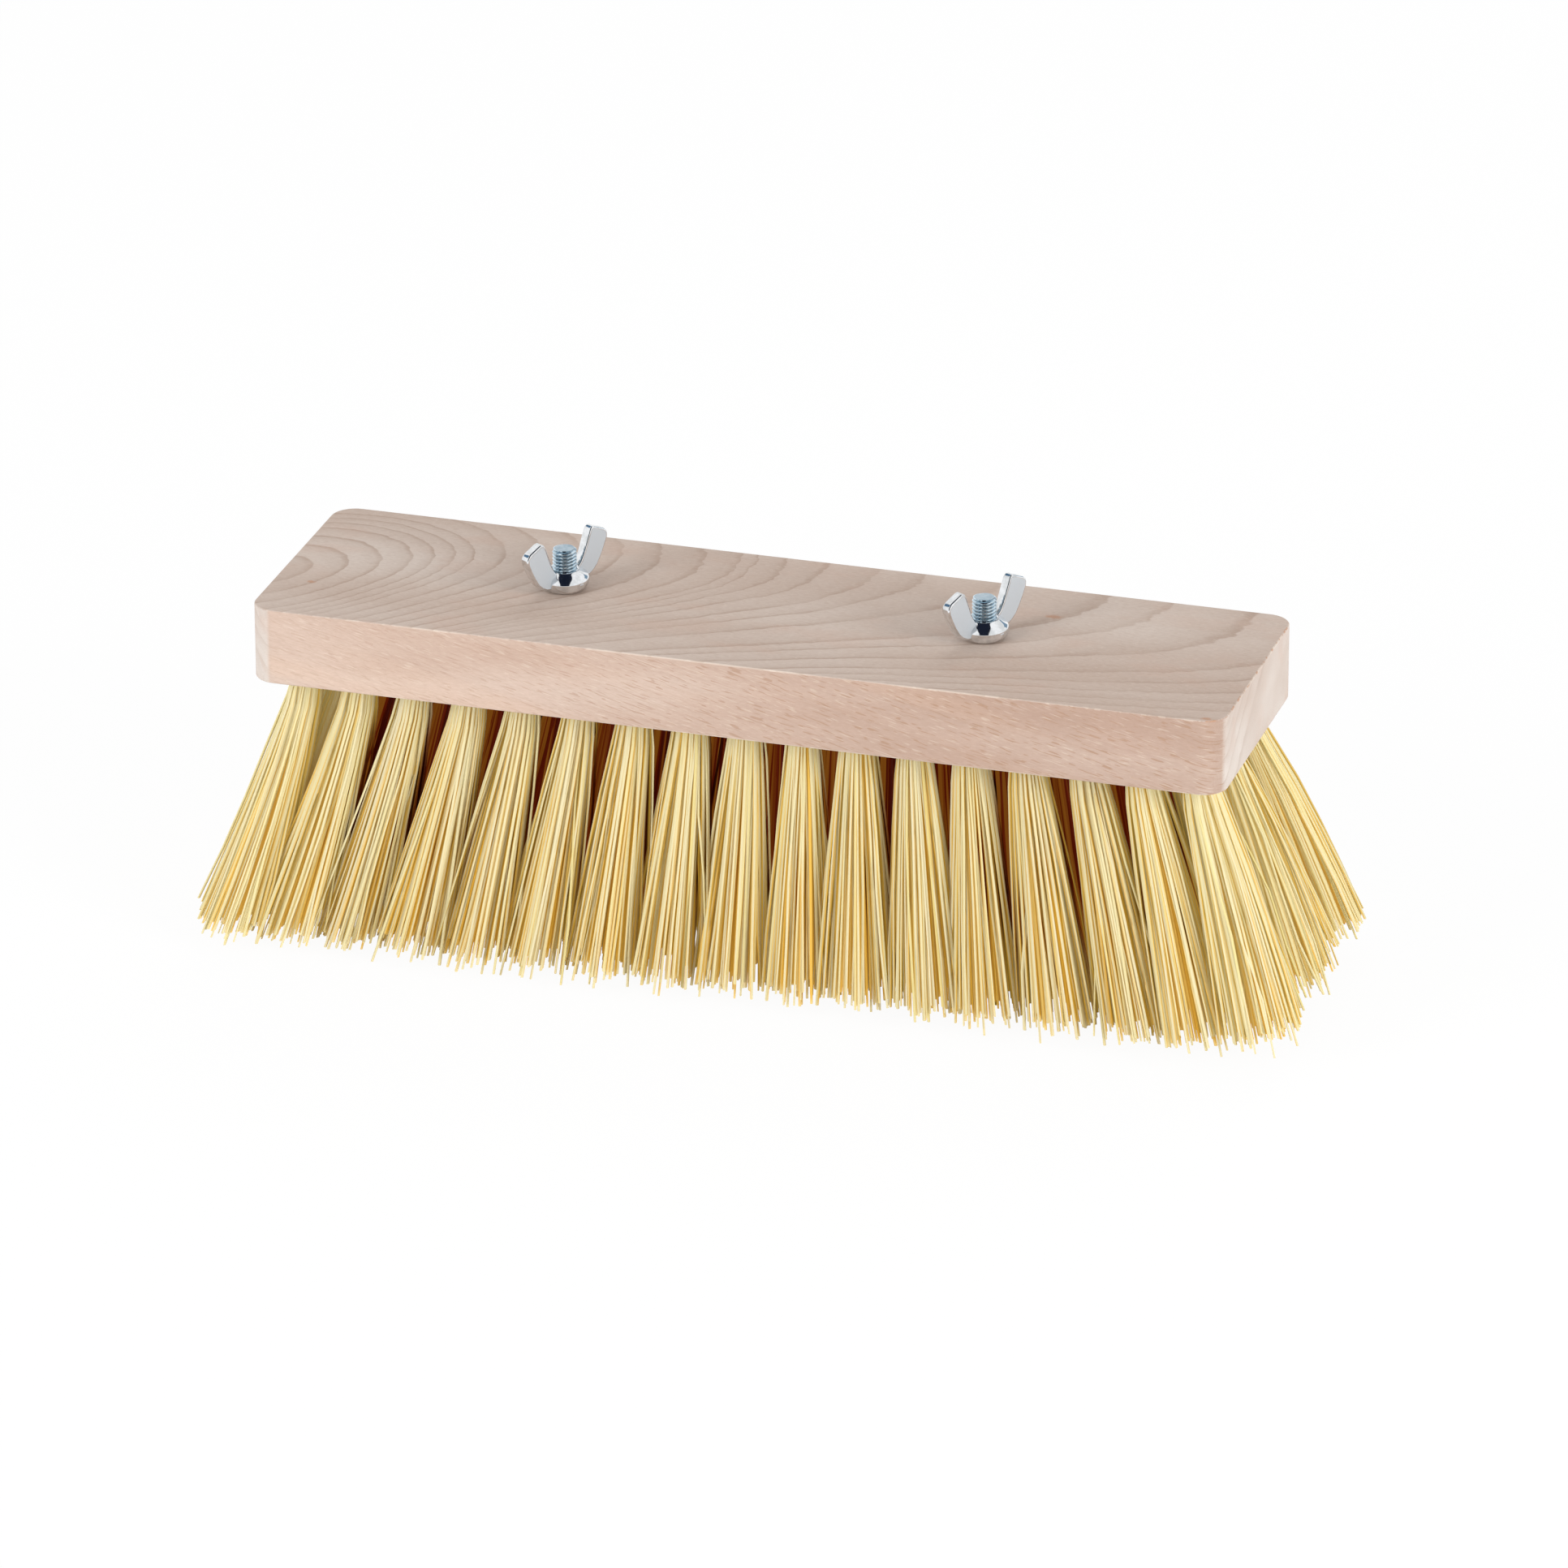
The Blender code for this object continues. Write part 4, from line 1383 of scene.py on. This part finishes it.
@dataclass
class WingNut:
    """One cast wing nut, American form, with soft cast edges.

    Outlines are in millimetres, outwards from the axis and up from the base; the rim's is
    counted from the bore's wall and the hub's top.
    """

    side: Side
    finish: Material
    x: float
    base_z: float = 0.0943
    turn_deg: float = 62.0
    bore_radius: float = 0.0035
    bore_sides: int = 48
    hub_sides: int = 96
    overshoot: float = 0.002
    wing_thickness: float = 0.0029
    wing_edge: float = 0.0006
    wing_edge_steps: int = 4
    broad: float = 0.995
    sharp_deg: float = 38.0
    rim_mm: tuple[Pair, ...] = ((0.0, -0.2), (0.6, 0.4))
    hub_mm: tuple[Pair, ...] = (
        (4.8, 0.0), (5.4, 0.1), (5.95, 0.38), (6.4, 0.85), (6.7, 1.4), (6.9, 2.0), (6.98, 2.6),
        (7.0, 2.95), (6.93, 3.3), (6.76, 3.65), (6.5, 4.0), (6.17, 4.32), (5.8, 4.62),
        (5.42, 4.9), (5.03, 5.18), (4.64, 5.46), (4.35, 5.66), (4.2, 5.74), (3.95, 5.78))
    wing_mm: tuple[Pair, ...] = (
        (3.7, 5.3), (5.0, 6.6), (6.2, 8.8), (8.4, 14.4), (8.9, 15.4), (9.6, 15.85),
        (10.4, 15.75), (14.2, 14.1), (15.2, 13.2), (15.5, 12.3), (15.3, 11.0), (14.2, 8.5),
        (12.9, 6.0), (11.5, 3.9), (10.0, 2.5), (8.4, 1.6), (6.7, 1.2), (4.6, 1.2))

    def wing(self, axis: Point, turn_deg: float) -> Piece:
        """Models one wing as a slab cut to its outline.

        Args:
            axis: the nut's axis at its base.
            turn_deg: the way the wing points.

        Returns:
            The wing, in its place on the hub.
        """
        wing = disc("wing", len(self.wing_mm))
        for vert, (out, up) in zip(wing.data.vertices, self.wing_mm):
            vert.co = (out * MM, -self.wing_thickness / 2, up * MM)
        with editing(wing, "FACE"):
            push(0.0, self.wing_thickness, 0.0)
            face_outwards()
            bevel(wing, lambda edge: abs(edge.verts[0].co.y - edge.verts[1].co.y) < MM,
                  self.wing_edge, self.wing_edge_steps)
        turn = Matrix.Rotation(math.radians(turn_deg), 4, "Z")
        wing.data.transform(Matrix.Translation(axis) @ turn)
        return wing

    def build(self) -> Piece:
        """Models the nut: hub and wings with softened edges, fused, then bored.

        Returns:
            The finished mesh.
        """
        axis = (self.x, 0.0, self.base_z)
        hub = [(radius * MM, height * MM) for radius, height in self.hub_mm]
        nut = turned(f"wing_nut_cast_{self.side.word}", hub, axis, self.hub_sides)
        for half_turn in (0.0, 180.0):
            cut(nut, self.wing(axis, self.turn_deg + half_turn), "UNION")
        top = hub[-1][1]
        bore = [(self.bore_radius, -self.overshoot)] + [
            (self.bore_radius + wider * MM, top + higher * MM) for wider, higher in self.rim_mm]
        cut(nut, turned("bore", bore, axis, self.bore_sides))
        self.mark_satin(nut)
        smooth(nut, self.sharp_deg)
        return nut

    def mark_satin(self, nut: Piece) -> None:
        """Stores which part of the casting is matt: the wings' broad faces.

        Args:
            nut: the finished casting.
        """
        angle = math.radians(self.turn_deg)
        across = Vector((-math.sin(angle), math.cos(angle), 0.0))
        stored = nut.data.attributes.new("satin", "FLOAT", "FACE")
        for face, value in zip(nut.data.polygons, stored.data):
            value.value = float(abs(face.normal.dot(across)) > self.broad)

    def dress(self) -> None:
        """Builds the nut and hands it over."""
        word = self.side.word
        hand_over(self.build(), f"nut_{word}", self.finish, [f"wing_nut_{word}"])


# Studio

@dataclass
class Studio:
    """Camera, floor and light."""

    azimuth_deg: float = 17.0493
    elevation_deg: float = 23.7625
    roll_deg: float = -0.1017
    distance: float = 3.062954
    aim: Point = (0.0, 0.0, 0.094)
    slide: Pair = (-0.0037095, 0.0476294)
    lens_mm: float = 253.588
    sensor_mm: float = 36.0
    clip: Pair = (0.05, 50.0)
    floor_z: float = -0.0068
    floor_size: float = 12.0
    floor_colour: Colour = (0.93, 0.93, 0.93)
    floor_glow: float = 0.94
    sky_level: float = 0.55
    lamps: tuple[tuple[str, Point, float, float], ...] = (
        ("key", (-1.5, -2.0, 1.0), 1.3, 44.0),
        ("fill", (2.0, -0.9, 0.8), 1.1, 36.0),
        ("back", (0.3, 2.0, 1.8), 1.6, 14.0))
    flag_width: float = 1.6
    flag_distance: float = 2.2
    flag_span_deg: Pair = (1.0, 116.0)
    flag_steps: int = 16
    flag_colour: Colour = (0.012, 0.016, 0.03)
    blue_cards: tuple[tuple[Point, float, Colour], ...] = (
        ((-1.55, 0.1, 1.75), 0.85, (0.10, 0.19, 0.30)),
        ((1.05, 1.85, 0.75), 0.8, (0.22, 0.32, 0.42)))

    def set_camera(self) -> None:
        """Puts the camera where the photograph was taken from."""
        azimuth, elevation, roll = (
            math.radians(v) for v in (self.azimuth_deg, self.elevation_deg, self.roll_deg))
        turn = (Matrix.Rotation(azimuth, 4, "Z") @ Matrix.Rotation(math.pi / 2 - elevation, 4, "X")
                @ Matrix.Rotation(roll, 4, "Z"))
        data = bpy.data.cameras.new("camera")
        data.sensor_width, data.lens = self.sensor_mm, self.lens_mm
        data.clip_start, data.clip_end = self.clip
        camera = link("camera", data)
        back = Matrix.Translation((-self.slide[0], -self.slide[1], self.distance))
        camera.matrix_world = Matrix.Translation(self.aim) @ turn @ back
        bpy.context.scene.camera = camera

    def set_world(self) -> None:
        """Lights everything softly, and shows white behind the object and in mirrors."""
        graph = Graph(bpy.data.worlds.new("studio"))
        bpy.context.scene.world = graph.owner
        camera, mirror, through = (graph.node("LightPath", {}, f"Is {kind} Ray")
                                   for kind in ("Camera", "Glossy", "Transmission"))
        soft, white = (graph.node("Background", {"Color": WHITE, "Strength": level})
                       for level in (self.sky_level, 1.0))
        seen = camera.maximum(mirror.maximum(through))
        graph.surface(graph.node("MixShader", {0: seen, 1: soft, 2: white}))

    def set_lamps(self) -> None:
        """Hangs the soft lamps, all facing the object."""
        for name, place, size, power in self.lamps:
            data = bpy.data.lights.new(name, "AREA")
            data.shape, data.size, data.energy = "SQUARE", size, power
            lamp = link(name, data)
            lamp.location = place
            lamp.rotation_mode = "QUATERNION"
            facing = Vector(self.aim) - Vector(place)
            lamp.rotation_quaternion = facing.to_track_quat("-Z", "Y")
            lamp.visible_glossy = False

    def lay_floor(self) -> None:
        """Lays the pale floor that keeps the object's shadow."""
        floor = start("floor", bpy.ops.mesh.primitive_plane_add, size=self.floor_size,
                      location=(0.0, 0.0, self.floor_z))
        graph = Graph(bpy.data.materials.new("floor"))
        camera, mirror = (graph.node("LightPath", {}, f"Is {kind} Ray")
                          for kind in ("Camera", "Glossy"))
        matt = graph.node("BsdfDiffuse", {"Color": (*self.floor_colour, 1.0)})
        white = graph.node("Emission", {"Color": WHITE, "Strength": 1.0})
        share = camera.maximum(mirror) * self.floor_glow
        graph.surface(graph.node("MixShader", {0: share, 1: matt, 2: white}))
        floor.data.materials.append(graph.owner)

    def hang_cards(self) -> None:
        """Hangs the dark band that arches up from behind the camera, and the dim blue cards."""
        flag = start("flag", bpy.ops.mesh.primitive_grid_add, x_subdivisions=1,
                     y_subdivisions=self.flag_steps, size=1.0)
        low, high = (math.radians(angle) for angle in self.flag_span_deg)
        for vert in flag.data.vertices:
            angle = low + (high - low) * (vert.co.y + 0.5)
            vert.co = (vert.co.x * self.flag_width, -self.flag_distance * math.cos(angle),
                       self.flag_distance * math.sin(angle))
        turn = Matrix.Rotation(math.radians(self.azimuth_deg), 4, "Z")
        flag.data.transform(Matrix.Translation(self.aim) @ turn)
        self.hide_but_mirrored(flag, self.flag_colour)
        for place, size, colour in self.blue_cards:
            card = start("blue_card", bpy.ops.mesh.primitive_plane_add, size=size)
            away = Vector(place) - Vector(self.aim)
            facing = away.to_track_quat("Z", "Y").to_matrix().to_4x4()
            card.data.transform(Matrix.Translation(place) @ facing)
            self.hide_but_mirrored(card, colour)

    def hide_but_mirrored(self, card: Piece, colour: Colour) -> None:
        """Gives a card its colour and lets only polished metal see it.

        Args:
            card: the card.
            colour: its own even light.
        """
        graph = Graph(bpy.data.materials.new(card.name))
        graph.surface(graph.node("Emission", {"Color": (*colour, 1.0)}))
        graph.owner.cycles.emission_sampling = "NONE"
        card.data.materials.append(graph.owner)
        card.visible_camera = card.visible_diffuse = card.visible_shadow = False
        card.visible_transmission = card.visible_volume_scatter = False

    def dress(self) -> None:
        """Sets up the whole studio."""
        self.set_camera()
        self.set_world()
        self.set_lamps()
        self.lay_floor()
        self.hang_cards()
        bpy.context.scene.view_settings.view_transform = "Standard"
        log.info("studio ready")


def corners(box_ends: tuple[Vector, Vector]) -> list[list[float]]:
    """A box's two corners as plain numbers."""
    return [list(corner) for corner in box_ends]


def main() -> None:
    """Dresses the brush piece by piece and sets the studio round it."""
    logging.basicConfig(level=logging.INFO, format="%(message)s")
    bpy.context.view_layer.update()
    Block().dress()
    Bristles().dress()
    bolt_zinc = ZincFinish(
        name="bolt_zinc", bright=(0.74, 0.88, 0.97), dull=(0.50, 0.66, 0.77),
        painted_groove_shade=(0.02, 0.06, 0.10), satin=(0.5, 0.5, 0.5), smoothest=0.07, roughest=0.2,
        relief=0.12).material()
    nut_zinc = ZincFinish(
        name="nut_zinc", bright=(0.86, 0.88, 0.90), dull=(0.66, 0.68, 0.69),
        painted_groove_shade=(0.3, 0.3, 0.3), satin=(0.583, 0.631, 0.673), smoothest=0.05, roughest=0.12,
        relief=0.08).material()
    pattern = TuftPattern()
    for side in Side:
        CarriageBolt(side, bolt_zinc, pattern.bolt_x(side)).dress()
        WingNut(side, nut_zinc, pattern.bolt_x(side)).dress()
    Studio().dress()


if __name__ == "__main__":
    main()
